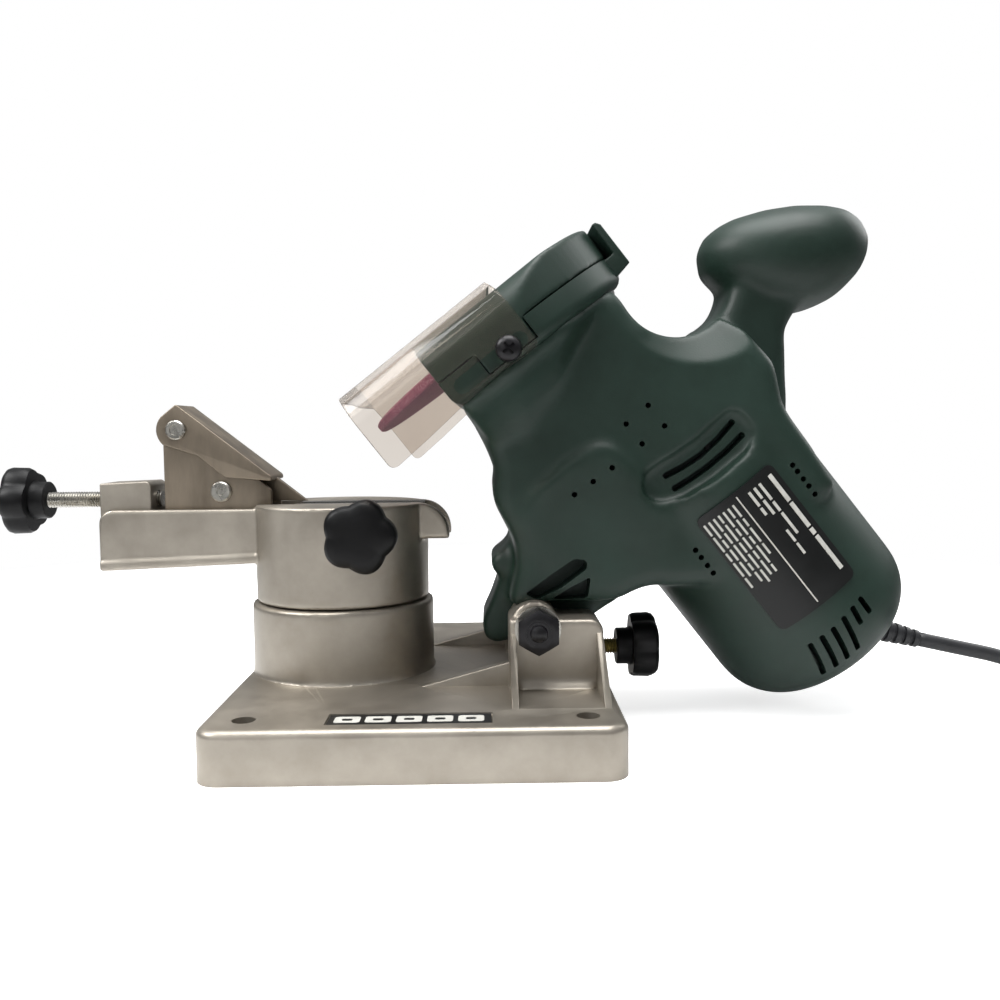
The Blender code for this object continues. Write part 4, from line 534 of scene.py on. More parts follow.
# strain relief: a ribbed sleeve that tapers onto the cord
reliefSize = {"from": (166, 0, 30.4), "to": (189.5, 0, 24.05), "big": 4.7, "small": 3.25, "ribs": 5}
reliefLength = (Vector(reliefSize["to"]) - Vector(reliefSize["from"])).length
profile = [(0, reliefLength)]
for i in range(reliefSize["ribs"], 0, -1):
    share = i / reliefSize["ribs"]
    top = 6 + (reliefLength - 6) * share
    radius = reliefSize["big"] + (reliefSize["small"] - reliefSize["big"]) * share
    profile += [(radius - 0.2, top), (radius + 0.1, top - 0.3)]
    profile += [(radius + 0.2, top - 2.2), (radius - 0.35, top - 2.4)]
profile += [(reliefSize["big"], 5.6), (reliefSize["big"], 0), (0, 0)]
strainRelief = turnedPiece("strainRelief", profile, "Z", (0, 0, 0), 32)
along = (Vector(reliefSize["to"]) - Vector(reliefSize["from"])).normalized()
turn = along.to_track_quat("Z", "Y").to_matrix().to_4x4()
strainRelief.data.transform(Matrix.Translation(reliefSize["from"]) @ turn)
keep(strainRelief, "head", blackPvc, ["strain_relief"])
print("cord and strain relief made")


# head housing: soft moulded forms, melted together, then cut
bodyLine = [
    (26.6, 75.4), (26.8, 70), (24.9, 60), (22.5, 52), (17.3, 47), (14.7, 42), (13.6, 36), (12, 28.3), (8, 21.5),
    (1, 15.5), (-3.5, 11.5), (-1, 8), (10, 2), (23, -8.8), (28.8, -12), (36.7, -13.7), (41.6, -16.1), (44.5, -19.4),
    (60, -30), (105, -30), (114, -28), (115.6, -11), (116, 1.7), (117, 7.6), (120, 13.5), (123, 20), (122, 36),
]
housingSize = {
    "half": 33.7, "edge": 5.5, "voxel": 1.2, "passes": 12, "motorAxis": 82.1, "motorRadius": 38.6, "motorEnd": -87.5,
    "endRound": 23, "shoulder": (27, 27.5), "fingerCentre": (114.5, 65), "fingerRadius": 20.8, "neckHalf": 16.5,
    "neckEdge": 6, "seam": 0.12, "gripHalf": 24.5,
}
finger = arc(housingSize["fingerCentre"], housingSize["fingerRadius"], -78, -195, 22) + [(93.7, 76)]
forms = [plate("bodyForm", bodyLine + finger, "Y", -housingSize["half"], housingSize["half"], housingSize["edge"])]
endCentre = (housingSize["motorRadius"] - housingSize["endRound"], housingSize["motorEnd"] + housingSize["endRound"])
barrel = [(0, housingSize["shoulder"][0]), (housingSize["shoulder"][1], housingSize["shoulder"][0])]
barrel += [(housingSize["motorRadius"] - 4, 12), (housingSize["motorRadius"] - 0.6, 5)]
barrel.append((housingSize["motorRadius"], 0))
barrel += arc(endCentre, housingSize["endRound"], 0, -90, 9) + [(0, housingSize["motorEnd"])]
forms.append(turnedPiece("barrelForm", barrel, "Z", (housingSize["motorAxis"], 0, 0), 96))
neckLine = [
    (106, 44), (106, 6), (118, -2), (123.4, 4.5), (127.8, 11), (133, 18), (138, 25), (150, 30), (154, 46), (143, 55),
    (131, 50), (125, 46), (118.5, 43.8),
]
neckHalf = housingSize["neckHalf"]
forms.append(plate("neckForm", neckLine, "Y", -neckHalf, neckHalf, housingSize["neckEdge"]))
gripLine = [
    (129.2, 49.6), (127.8, 59.1), (132, 66.7), (137.5, 69.9), (143.4, 70.1), (149.6, 69), (160.6, 64.5), (170.5, 58.8),
    (179.5, 51.7), (184.8, 45.6), (187, 39.1), (185.6, 31.6), (181.1, 26.9), (175.5, 23.9), (169, 22.7), (162.3, 22.2),
    (156, 23.4), (150.2, 25.2), (143, 29), (134, 38),
]
gripLean, gripLayers = 84, 20  # degrees from the middle to each end, and how many layers between
leans = [math.radians(gripLean * (2 * i / gripLayers - 1)) for i in range(gripLayers + 1)]
gripRings = [(housingSize["gripHalf"] * math.sin(lean), shrunk(gripLine, math.cos(lean) ** 0.85)) for lean in leans]
forms.append(swelled("gripForm", gripRings, "Y"))
armLine = [
    (-17.6, 0.3), (-19.5, 3), (-19.3, 6.5), (-15.7, 11.1), (-10, 13.8), (-1.7, 19), (6, 26.5), (18, 30), (34, 18),
    (38, -12), (31, -15), (12, -13.5), (0, -10), (-8, -4),
]
forms.append(plate("armForm", armLine, "Y", -16, 16, 1.6, 1))
forms.append(bar("eyeForm", "Y", (3.2, 22.6), 4.6, -18, 18, 1))
panelSize = {"proud": 36.6, "level": 32, "foot": -6, "inner": 28, "tail": 12, "ramp": 16}
panelLine = [
    (18.5, 35), (29.1, 37.8), (43.2, 38.9), (56.4, 37.2), (60.4, 32.4), (62, 22), (62, 0), (46, -10), (28, -6), (14, 13),
]
for side in bothSides:
    # the panel slopes to flush downwards and towards the hinge
    panel = plate("panelForm", panelLine, "Y", *sideSpan(side, panelSize["inner"], panelSize["proud"]), 1.2, 2.2)
    for point in panel.data.vertices:
        if abs(point.co.y) > housingSize["half"]:
            rise = min(1, max(0, (point.co.z - panelSize["foot"]) / (panelSize["level"] - panelSize["foot"])))
            rise *= min(1, max(0, (point.co.x - panelSize["tail"]) / panelSize["ramp"]))
            fall = (abs(point.co.y) - housingSize["half"]) * (1 - rise)
            point.co.y -= side * fall
    forms.append(panel)
flare = [(27.2, -50), (47, -54), (72, -49), (90, -33), (98, -14), (98, 14), (90, 33), (72, 49), (47, 54), (27.2, 50)]
flareMiddle = (27.2, 0)
flares = [(48, 0.56), (56, 0.64), (62, 0.72), (67, 0.82), (71, 0.93), (74, 0.99), (77, 1)]
flareRings = [(height, shrunk(flare, share, flareMiddle)) for height, share in flares]
forms.append(swelled("flareForm", flareRings, "Z"))
scoopSize = {"centre": (121, 62), "inner": 19, "outer": 34, "deep": 24.5, "face": 35, "roof": 57}
housing = melt("housing", forms, housingSize["voxel"], housingSize["passes"])
ventPad = [
    (57.5, 12.5), (60, 7), (69, 3), (82, 1.6), (95, 2.2), (102, 5), (103, 13), (99.5, 18), (84, 16.6), (70, 18),
    (61.5, 18.6),
]
for side in bothSides:
    carve(housing, [plate("ventPad", ventPad, "Y", *sideSpan(side, 31.2, 45), 1.2, 2.5)])
    # a soft slope round the finger opening
    span = sideSpan(side, scoopSize["deep"], scoopSize["face"])
    ends = (scoopSize["inner"], scoopSize["outer"])[::side]
    scoop = bar("scoop", "Y", scoopSize["centre"], ends[0], *span, 0, 96, ends[1])
    roof = box("scoopRoof", (60, min(span) - 1, 0), (170, max(span) + 1, scoopSize["roof"]))
    carve(scoop, [roof], "INTERSECT")
    carve(housing, [scoop])
housing = melt("housing", [housing], housingSize["voxel"], 9)
print("housing melted:", len(housing.data.polygons), "faces")

caseSize = {
    "back": 26, "half": 54, "radius": 56, "low": 75.7, "high": 86, "edge": 4.5, "room": 51.8, "floor": 84.2,
    "throat": 11.3, "throatLow": 60,
}
bend = math.degrees(math.asin(caseSize["half"] / caseSize["radius"]))
casePlan = [(caseSize["back"], -caseSize["half"]), *arc(wheelAxis, caseSize["radius"], -bend, bend, 41)]
casePlan.append((caseSize["back"], caseSize["half"]))
wheelCase = plate(
    "wheelCase", casePlan, "Z", caseSize["low"], caseSize["high"], caseSize["edge"], rims="low", steps=5,
)
rim = [(97, 78), (106.6, 79.5), (106.6, 96.6), (105.4, 98.4), (103.8, 98.4), (103.8, 85.7), (97, 85.7)]
rimPiece = plate("rim", rim, "Y", -20, 20, 0.6, 0.5)
carve(housing, [wheelCase, rimPiece], "UNION")
hollows = [bar("wheelRoom", "Z", wheelAxis, caseSize["room"], caseSize["floor"], 90, 0, 96)]
hollows.append(bar("spindleRoom", "Z", wheelAxis, caseSize["throat"], caseSize["throatLow"], 85))
hollows += [sideBox("lidNotch", side, (40.97, 50.9, 77.85), (61.2, 56, 87)) for side in bothSides]
carve(housing, hollows)

notchWorld = box("notchWorld", (46, -17.5, 0), (80, 17.5, 34.4))
notchWorld.data.transform(Matrix.Scale(1 / mm, 4) @ headMatrix.inverted() @ Matrix.Scale(mm, 4))
cutters = [notchWorld, bar("boltWay", "Y", (0, 0), 5.9, -20, 20)]
carve(housing, cutters)


ventSlots = [
    [(67.3, 13), (74.5, 11.6), (81.7, 10.9), (90.5, 11.6), (99, 13.3)],
    [(67, 7.4), (74.2, 6.5), (81.5, 6.1), (90.5, 6.4), (99, 7.5)],
]


def ribbon(points, width):
    # a long slot along a few points
    left, right = [], []
    for (across, up), before, after in zip(points, points[:1] + points[:-1], points[1:] + points[-1:]):
        along = Vector((after[0] - before[0], after[1] - before[1])).normalized()
        left.append((across - along.y * width / 2, up + along.x * width / 2))
        right.append((across + along.y * width / 2, up - along.x * width / 2))
    return left + right[::-1]


ventDots = [(78.3, 36.3), (68.3, 36), (78.4, 27.1), (68.4, 27.1), (54.9, 27.3), (46.8, 27.6), (38.9, 28.1)]
ventDots += [(105.1, height) for height in (-11.7, -14.5, -17.9, -21.1, -24.8)]
ventDots += [(60.1, height) for height in (-14.1, -17.4, -21, -24.5)]
endSlots = [
    ((70.9, -64.5), (69, -78.8)), ((75.7, -64.4), (74, -78.9)), ((80.5, -64.3), (78.8, -78.7)),
    ((85.7, -63.6), (83.6, -78.1)), ((90.4, -63), (89.4, -70.5)), ((94.6, -62.5), (94.6, -69.8)),
]
pocketLines = [
    [(3.5, 11.2), (14, 11), (25, 10.3), (28, 7), (26.3, 4.6), (14, 5), (5.5, 6.8)],
    [(9.5, 3.6), (17, 3.2), (25.5, 1.6), (20, -4), (14, 0)],
]
# how far from the middle each cut starts, and how wide its slots or dots are
cutSize = {
    "clear": 45, "vent": 24, "ventWide": 2.3, "dot": 20, "dotRadius": 1.0, "end": 26, "endWide": 2.1, "pocket": 24,
}
for side in bothSides:
    span = sideSpan(side, cutSize["vent"], cutSize["clear"])
    carve(housing, [plate("ventSlot", ribbon(points, cutSize["ventWide"]), "Y", *span, 0, 1) for points in ventSlots])
    span = sideSpan(side, cutSize["dot"], cutSize["clear"])
    holes = [bar("ventDot", "Y", spot, cutSize["dotRadius"], *span, 0, 16) for spot in ventDots]
    carve(housing, [gather("ventDots", holes)])
    span = sideSpan(side, cutSize["end"], cutSize["clear"])
    slits = [plate("endSlot", ribbon(pair, cutSize["endWide"]), "Y", *span, 0, 0.9) for pair in endSlots]
    carve(housing, [gather("endSlots", slits)])
    span = sideSpan(side, cutSize["pocket"], cutSize["clear"])
    carve(housing, [gather("pockets", [plate("pocket", points, "Y", *span, 0, 1.2) for points in pocketLines])])
carve(housing, [box("switchWay", (60.2, 24.7, 40.2), (75.8, 45, 50.8))])
screwSpots = [((32.7, 43.2), 34), ((23, 20.7), 34), ((32.7, -4.5), 34), ((155.1, 43.6), 25)]
wells = [bar("screwWell", "Y", spot, 4.1, face - 5.2, face + 12, 0, 24) for spot, face in screwSpots]
carve(housing, wells)
print("housing carved:", len(housing.data.polygons), "faces")

# two shells that meet at the middle
for name, node, side in (("housingFront", "housing_front", -1), ("housingRear", "housing_rear", 1)):
    bm = bmOf(housing)
    cut = bmesh.ops.bisect_plane(
        bm, geom=bm.verts[:] + bm.edges[:] + bm.faces[:], plane_co=(0, side * housingSize["seam"], 0),
        plane_no=(0, side, 0), clear_inner=True,
    )
    rims = [item for item in cut["geom_cut"] if isinstance(item, bmesh.types.BMEdge)]
    bmesh.ops.holes_fill(bm, edges=rims, sides=0)
    keep(loose(name, bm), "head", mouldedNylon, [node], head=True, smooth=45)
drop(housing)
print("housing halves made")

# wheel case lid
lidSize = {"low": 86.3, "high": 99.6, "shoulder": 11, "voxel": 0.9, "passes": 6, "room": 93.6, "cone": 97}
guardScrewSpot = (51, 80.8)
wheelLid = plate("lidForm", casePlan, "Z", lidSize["low"] - 12, lidSize["high"])
carve(wheelLid, [box("lidUnder", (-20, -80, 60), (130, 80, lidSize["low"]))])
shoulder = arc((caseSize["half"] - lidSize["shoulder"], 88.7), lidSize["shoulder"], 0, 90, 12)
section = [(54, 70), *shoulder, *[(-across, up) for across, up in reversed(shoulder)], (-54, 70)]
carve(wheelLid, [plate("lidSection", section, "X", 20, 110)], "INTERSECT")
for side in bothSides:
    carve(wheelLid, [sideBox("lidTab", side, (41, 51, 78), (61, 54, 90))], "UNION")
wheelLid = melt("lidForm", [wheelLid], lidSize["voxel"], lidSize["passes"])
rooms = [bar("lidRoom", "Z", wheelAxis, caseSize["room"], 70, lidSize["room"], 0, 96)]
rooms.append(bar("lidCone", "Z", wheelAxis, caseSize["room"], lidSize["room"] - 0.1, lidSize["cone"], 0, 96, 45))
rooms += [bar("lidScrewWay", "Y", guardScrewSpot, 2.8, *sideSpan(side, 48, 60), 0, 24) for side in bothSides]
carve(wheelLid, rooms)
keep(wheelLid, "head", mouldedNylon, ["wheel_lid"], head=True, smooth=45)
print("lid made")

# clear guard: folded shoulders, rounded corners, a slot on each side
guardSize = {
    "start": -3.2, "end": 60, "half": 56.3, "wall": 2.0, "fold": 95.5, "top": 103.5, "flat": 48.8,
    "corner": 3.6, "foldInside": 94.65, "flatInside": 47.9, "slot": (31.8, 55.7), "slotRadius": 2.8,
}


def guardSection(low, half, fold, flat, top):
    return [(-half, low), (half, low), (half, fold), (flat, top), (-flat, top), (-half, fold)]


outer = guardSection(50, *[guardSize[key] for key in ("half", "fold", "flat", "top")])
guard = plate("wheelGuardClear", outer, "X", guardSize["start"], guardSize["end"], 0, guardSize["corner"], 7)
inside, under = guardSize["half"] - guardSize["wall"], guardSize["top"] - guardSize["wall"]
inner = guardSection(40, inside, guardSize["foldInside"], guardSize["flatInside"], under)
sideLine = [
    (guardSize["start"], 110), (guardSize["start"], 73.3), (12, 74.2), (26, 75.4), (43.6, 76.4),
    (guardSize["end"], 75.4), (guardSize["end"], 98), (57.5, 110),
]
carve(guard, [plate("guardSides", sideLine, "Y", -70, 70, 0, 2.6, 5)], "INTERSECT")
carve(guard, [plate("guardRoom", inner, "X", -20, 80, 0, 1.8, 7)])
slot = arc((guardSize["slot"][0], guardScrewSpot[1]), guardSize["slotRadius"], 90, 270, 9)
slot += arc((guardSize["slot"][1], guardScrewSpot[1]), guardSize["slotRadius"], -90, 90, 9)
carve(guard, [plate("guardSlot", slot, "Y", -70, 70)])
edgeFaces = []  # which faces are the cut edges of the sheet, below and in front
for face in guard.data.polygons:
    below = face.normal.z < -0.5 and face.center.z < 77.6
    leading = face.normal.x < -0.5 and face.center.x < 1
    edgeFaces.append(below or leading)
keep(guard, "guard", clearPolycarbonate, ["wheel_guard"], head=True, smooth=30)
guard.data.materials.append(polycarbonateEdge)
for face, isEdge in zip(guard.data.polygons, edgeFaces):
    face.material_index = int(isEdge)

# cross-headed guard screws
screwSize = {"seat": 56.6, "crossDeep": 58.2, "crossClear": 61, "arms": ((2.3, 0.45), (0.45, 2.3))}
screwProfile = [(0, 3), (2.2, 2.9), (3.6, 2.3), (4.3, 1.2), (4.3, 0), (2.4, 0), (2.4, -9), (0, -9)]
for name, node, side in (("guardScrewFront", "guard_screw_front", -1), ("guardScrewRear", "guard_screw_rear", 1)):
    screw = turnedPiece(name, screwProfile, "Y", (0, 0, 0), 40)
    faced(screw, side, toAxis("Y", *guardScrewSpot, side * screwSize["seat"]))
    for wide, tall in screwSize["arms"]:
        low = (guardScrewSpot[0] - wide, screwSize["crossDeep"], guardScrewSpot[1] - tall)
        high = (guardScrewSpot[0] + wide, screwSize["crossClear"], guardScrewSpot[1] + tall)
        carve(screw, [sideBox("cross", side, low, high)])
    keep(screw, "head", blackOxide, [node], head=True)
print("guard made")

# grinding wheel with a worn, slightly rounded rim
wheelProfile = [(5, 91.6), (49.3, 91.6), (50, 91), (50, 89), (49.3, 88.4), (5, 88.4), (5, 91.6)]
wheel = turnedPiece("abrasiveWheel", wheelProfile, "Z", (*wheelAxis, 0), 128)
keep(wheel, "spindle", pinkAbrasive, ["grinding_wheel"], head=True)

# rating plate: a bent film with plain dashes in place of words
plateSize = {
    "low": -55.3, "high": -5.3, "radius": 39.15, "thick": 0.4, "centre": 82.4, "half": 17.4, "cutHalf": 16.5,
    "corner": 2.6, "gap": 0.9, "inkLift": 0.25,
}


def bentStrip(name, left, right, low, high, lift):
    # a strip of film that lies on the motor barrel, left and right measured round it
    radius = plateSize["radius"] + lift
    angles = [(-90 + math.degrees(x / plateSize["radius"])) for x in (left, right)]
    count = max(3, round(abs(right - left) / 2) + 2)
    outerLine = arc((plateSize["centre"], 0), radius + plateSize["thick"], angles[0], angles[1], count)
    innerLine = arc((plateSize["centre"], 0), radius, angles[1], angles[0], count)
    return plate(name, outerLine + innerLine, "Z", low, high)


film = bentStrip("ratingFilm", -plateSize["half"], plateSize["half"], plateSize["low"], plateSize["high"], 0)
left, right = plateSize["centre"] - plateSize["cutHalf"], plateSize["centre"] + plateSize["cutHalf"]
low, high = plateSize["low"], plateSize["high"]
filmLine = [(left, low), (right, low), (right, high), (left, high)]
carve(film, [plate("filmCorners", filmLine, "Y", -60, -20, 0, plateSize["corner"], 5)], "INTERSECT")
keep(film, "head", labelFilm, ["rating_plate"], head=True)
# each row: its middle and width across the plate, where it starts, and the lengths of its dashes
dashRows = (
    (13.6, 1.6, -8.5, (11.5, 10.5, 2.4, 14.5)), (8.6, 1.0, -8.5, (7, 4, 9)), (6.2, 1.0, -8.5, (4.5, 6)),
    (3.8, 1.0, -8.5, (6, 3)), (6.2, 0.9, -27, (5, 4.5)), (-0.6, 0.45, -7, (46.5,)),
    (-3.2, 0.75, -8.5, (5, 3.2, 6, 4.4)), (-5.2, 0.75, -8.5, (4, 6.4, 3.2, 7.4, 3)),
    (-7.2, 0.75, -8.5, (6.4, 3, 5, 3.4, 6)), (-9.2, 0.75, -8.5, (3.2, 7, 4.2, 6, 5.2)),
    (-11.2, 0.75, -8.5, (5.4, 4.4, 7.2, 3, 4)), (-13.2, 0.75, -8.5, (7, 3.4, 4.6, 6.2)),
    (-15.2, 0.75, -8.5, (4.6, 6.2, 3.4, 5.8, 4.2)),
)
bars = []
for across, width, start, lengths in dashRows:
    for length in lengths:
        edges = (across - width / 2, across + width / 2)
        bars.append(bentStrip("inkBar", *edges, start - length, start, plateSize["inkLift"]))
        start -= length + plateSize["gap"]
ink = gather("ratingInk", bars)
keep(ink, "head", whiteInk, head=True)
print("rating plate made")


# base casting
baseSize = {
    "right": 66, "left": -67.5, "rear": 84, "front": -86.5, "high": 17, "corner": 8, "rim": 2.6, "drum": 34.2,
    "drumFoot": 35.6, "drumHigh": 43.4, "drumRoom": 29.8, "bolt": 4.3, "foot": (54, 74), "footHole": 3.75,
    "voxel": 0.95, "passes": 4,
}
inLeft, inRight = baseSize["left"] + baseSize["corner"], baseSize["right"] - baseSize["corner"]
inFront, inRear = baseSize["front"] + baseSize["corner"], baseSize["rear"] - baseSize["corner"]
baseLine = []
corners = ((inRight, inRear), (inLeft, inRear), (inLeft, inFront), (inRight, inFront))
for corner, start in zip(corners, (0, 90, 180, 270)):
    baseLine += arc(corner, baseSize["corner"], start, start + 90, 9)
parts = [plate("basePlate", shrunk(baseLine, 0.97), "Z", 4, 16.2, 1)]
parts.append(bar("drum", "Z", drumAxis, baseSize["drum"], 12, baseSize["drumHigh"], 1, 96))
parts.append(bar("drumFoot", "Z", drumAxis, baseSize["drumFoot"], 12, 18.6, 0, 96, baseSize["drum"]))
for side in bothSides:
    tower = [(30, 12), (63, 12), *arc((58.5, 36.5), 4.5, 0, 90, 7), (30, 41)]
    parts.append(plate("tower", tower, "Y", *sideSpan(side, 17.5, 40), 1))
    parts.append(bar("hingeBoss", "Y", (39, 38.5), 8.4, *sideSpan(side, 17.5, 37.5), 0.8))
    gusset = [(33, 12), (60, 12), (60, 18.6), (33, 18.6)]
    parts.append(plate("gusset", gusset, "Y", *sideSpan(side, 38, 41.5), 1))
parts.append(box("stopWall", (58, -19, 12), (63, 19, 34), 0.8))
casting = melt("baseCastingBody", parts, baseSize["voxel"], baseSize["passes"])
# what stays crisp is joined on after the melt
crisp = [plate("basePlate", baseLine, "Z", 0, baseSize["high"], baseSize["rim"], steps=5, rims="high")]
web = [(-8, 14), (-3, 16.6), (31.5, 25.8), (31.5, 14)]
for side in bothSides:
    rib = [(side * 36, 14), (side * 66, 14), (side * 66, 16.6), (side * 39.8, 36.4), (side * 36, 36.4)]
    crisp.append(plate("web", web, "Y", *sideSpan(side, 31.5, 36), 0.5))
    crisp.append(plate("rib", rib, "X", 30.3, 32.6, 0.25, steps=2))
    crisp.append(plate("rib", rib, "X", 60.4, 62.7, 0.25, steps=2))
carve(casting, crisp, "UNION")
hollow = [box("baseHollow", (-62, -80, -5), (62, 80, 13))]
hollow.append(bar("drumHollow", "Z", drumAxis, baseSize["drumRoom"], -5, 39, 0, 96))
hollow.append(bar("swivelHole", "Z", drumAxis, baseSize["bolt"], 30, 60, 0, 32))
hollow.append(bar("hingeHole", "Y", hingeSpot, baseSize["bolt"], -60, 60, 0, 32))
hollow.append(bar("depthHole", "X", (0, 23), 3.3, 50, 70, 0, 32))
hollow.append(box("labelRecess", (-28, -80.3, 16.1), (24, -68.5, 20), 0.4))
hollow += [sideBox("towerBay", side, (34, 21.5, 0), (59, 36, 27)) for side in bothSides]
carve(casting, hollow)
feet = [(side * baseSize["foot"][0], end * baseSize["foot"][1]) for side in bothSides for end in bothSides]
lugs = [bar("footLug", "Z", spot, 9, 0, 14, 0, 32) for spot in feet]
lugs.append(box("crossRib", (-2, -80.5, 0), (2, 80.5, 13.5)))
carve(casting, lugs, "UNION")
carve(casting, [bar("footHole", "Z", spot, baseSize["footHole"], -5, 30, 0, 32) for spot in feet])
keep(casting, "base", satinCasting, ["base_casting"], smooth=40)
print("base made:", len(casting.data.polygons), "faces")

# base label: black film with five plain pale tiles
film = box("baseFilm", (-27.6, -79.9, 16.35), (23.6, -68.9, 16.75), 0.15, 1)
keep(film, "base", labelFilm, ["base_label"])
tileSize = {
    "first": -25.6, "pitch": 9.7, "count": 5, "wide": 8.1, "front": -77.6, "rear": -71.2, "inset": (2.4, 5.7),
}
tiles = []
for i in range(tileSize["count"]):
    left = tileSize["first"] + i * tileSize["pitch"]
    right = left + tileSize["wide"]
    front, rear = tileSize["front"], tileSize["rear"]
    tile = plate("tile", [(left, front), (right, front), (right, rear), (left, rear)], "Z", 16.7, 16.86, 0, 1.1)
    left, right = [left + reach for reach in tileSize["inset"]]
    inset = [(left, front + 2), (right, front + 2), (right, rear - 2), (left, rear - 2)]
    carve(tile, [plate("tileInset", inset, "Z", 16.0, 17.5, 0, 0.7)])
    tiles.append(tile)
keep(gather("baseTiles", tiles), "base", whiteInk)

# hinge nut and bolt end
nutSize = {"radius": 7.9, "outer": -48.9, "inner": -42.4, "bore": 4.3, "coneSeat": -49, "tipSeat": -49.6}
nut = bar("hingeNut", "Y", hingeSpot, nutSize["radius"], nutSize["outer"], nutSize["inner"], 0, 6)
nutCone = turnedPiece("nutCone", [(0, 0), (6, 0), (8, -1.2), (8, -8), (0, -8)], "Y", (0, 0, 0), 48)
carve(nut, [faced(nutCone, -1, toAxis("Y", *hingeSpot, nutSize["coneSeat"]))], "INTERSECT")
carve(nut, [bar("nutBore", "Y", hingeSpot, nutSize["bore"], -60, -30, 0, 32)])
keep(nut, "base", blackOxide, ["hinge_nut"])
boltTip = [(0, 1.5), (1.6, 1.3), (2.7, 0.7), (3, 0), (3, -0.6), (4.28, -0.6), (4.28, -2.4), (0, -2.4)]
tip = turnedPiece("hingeBoltTip", boltTip, "Y", (0, 0, 0), 40)
faced(tip, -1, toAxis("Y", *hingeSpot, nutSize["tipSeat"]))
keep(tip, "base", blackOxide)
print("hinge made")


# vise table
viseSize = {
    "drum": 32.5, "low": 43.8, "high": 80, "half": 12.5, "footHalf": 13.3, "room": 27, "roomHigh": 58, "boss": 9,
    "bolt": 4.3, "voxel": 0.7, "passes": 3,
}
clampSpot = (-20.2, 71.4)
viseParts = [bar("tableDrum", "Z", drumAxis, viseSize["drum"], viseSize["low"], viseSize["high"], 0.8, 96)]
railLine = [(-32, 78.5), *arc((-116, 73.5), 5, 90, 180, 9), (-121, 56), (-32, 59.5)]
viseParts.append(plate("rail", railLine, "Y", -viseSize["half"], viseSize["half"], 0.5))
railFoot = [(-32, 62.6), (-118, 59.6), (-121, 59.4), (-121, 56), (-32, 59.5)]
viseParts.append(plate("railFoot", railFoot, "Y", -viseSize["footHalf"], viseSize["footHalf"], 0.5))
lipLine = [(8.6, 66.8), *arc((-2.9, 68.5), 11.5, 0, 90, 15), (-32, 80), (-32, 66.8)]
viseParts.append(plate("lip", lipLine, "Y", -viseSize["half"], viseSize["half"], 0.6))
table = melt("viseTableBody", viseParts, viseSize["voxel"], viseSize["passes"])
cuts = [box("slotWay", (-51, -8, 66), (20, 8, 90)), box("channelWay", (-130, -9.5, 62), (-49, 9.5, 90))]
cuts.append(bar("tableHollow", "Z", drumAxis, viseSize["room"], 40, viseSize["roomHigh"], 0, 96))
cuts.append(bar("clampWay", "Y", clampSpot, viseSize["bolt"], -40, -6, 0, 32))
carve(table, cuts)
carve(table, [bar("tableBoss", "Z", drumAxis, viseSize["boss"], viseSize["low"], viseSize["roomHigh"] + 1)], "UNION")
carve(table, [bar("tableBolt", "Z", drumAxis, viseSize["bolt"], 40, 54.8, 0, 32)])
keep(table, "vise", satinCasting, ["vise_table"], smooth=40)
print("vise table made:", len(table.data.polygons), "faces")

# stop block with a rounded back corner
stopSpot = (0, 82)
sheetHalf = 9.2
blockLine = [(-121.3, 62.3), (-102.3, 62.3), (-102.3, 87.6), (-103.6, 89), (-121.3, 88.4)]
block = plate("stopBlockBody", blockLine, "Y", -sheetHalf, sheetHalf, 0.5, 0.6)
carve(block, [bar("blockWay", "X", stopSpot, 3.3, -130, -95, 0, 32)])
keep(block, "vise", satinCasting, ["stop_block"])


# lobed knobs and threaded rods
knobSize = {"radius": 12.9, "waist": 11.0, "lobes": 5, "points": 16, "hub": 5.6, "hubRadius": 7, "start": 0.93}
# how far each level rises, and its share of the width
knobLevels = ((1.3, 0.985), (5.6, 1.0), (1.6, 0.96), (1.1, 0.86), (0.6, 0.66), (0.2, 0.4))
depthHeight = 23


def lobedKnob(name, direction, face, node, body, bore):
    # built along +Z from the hub's face, then turned to the screw's direction
    outline = []
    count = knobSize["lobes"] * knobSize["points"]
    for i in range(count):
        angle = 2 * math.pi * i / count
        wave = 0.5 + 0.5 * math.cos(knobSize["lobes"] * angle)
        reach = knobSize["waist"] + (knobSize["radius"] - knobSize["waist"]) * wave ** 0.6
        outline.append((reach * math.cos(angle), reach * math.sin(angle), knobSize["hub"]))
    bm = bmesh.new()
    current = bm.faces.new([bm.verts.new(point) for point in outline])
    shareNow = knobSize["start"]
    bmesh.ops.scale(bm, vec=(shareNow, shareNow, 1), verts=current.verts)
    for level, (rise, share) in enumerate(knobLevels):
        grown = bmesh.ops.extrude_face_region(bm, geom=[current])
        if level:
            bmesh.ops.delete(bm, geom=[current], context="FACES_ONLY")  # only the foot keeps its face
        raised = [item for item in grown["geom"] if isinstance(item, bmesh.types.BMVert)]
        current = next(item for item in grown["geom"] if isinstance(item, bmesh.types.BMFace))
        bmesh.ops.translate(bm, verts=raised, vec=(0, 0, rise))
        bmesh.ops.scale(bm, vec=(share / shareNow, share / shareNow, 1), verts=raised)
        shareNow = share
    knob = loose(name, bm)
    hubProfile = [(0, 8), (7.4, 8), (7.4, 5.2), (7, 4.2), (7, 0.4), (6.6, 0), (0, 0)]
    hub = turnedPiece("hub", hubProfile, "Z", (0, 0, 0), 48)
    carve(knob, [hub], "UNION")
    carve(knob, [bar("bore", "Z", (0, 0), bore, -2, 10, 0, 24)])
    rest = Vector(direction).to_track_quat("Z", "Y").to_matrix().to_4x4()
    knob.data.transform(Matrix.Translation(face) @ rest)
    return keep(knob, body, blackPhenolic, [node], smooth=32)


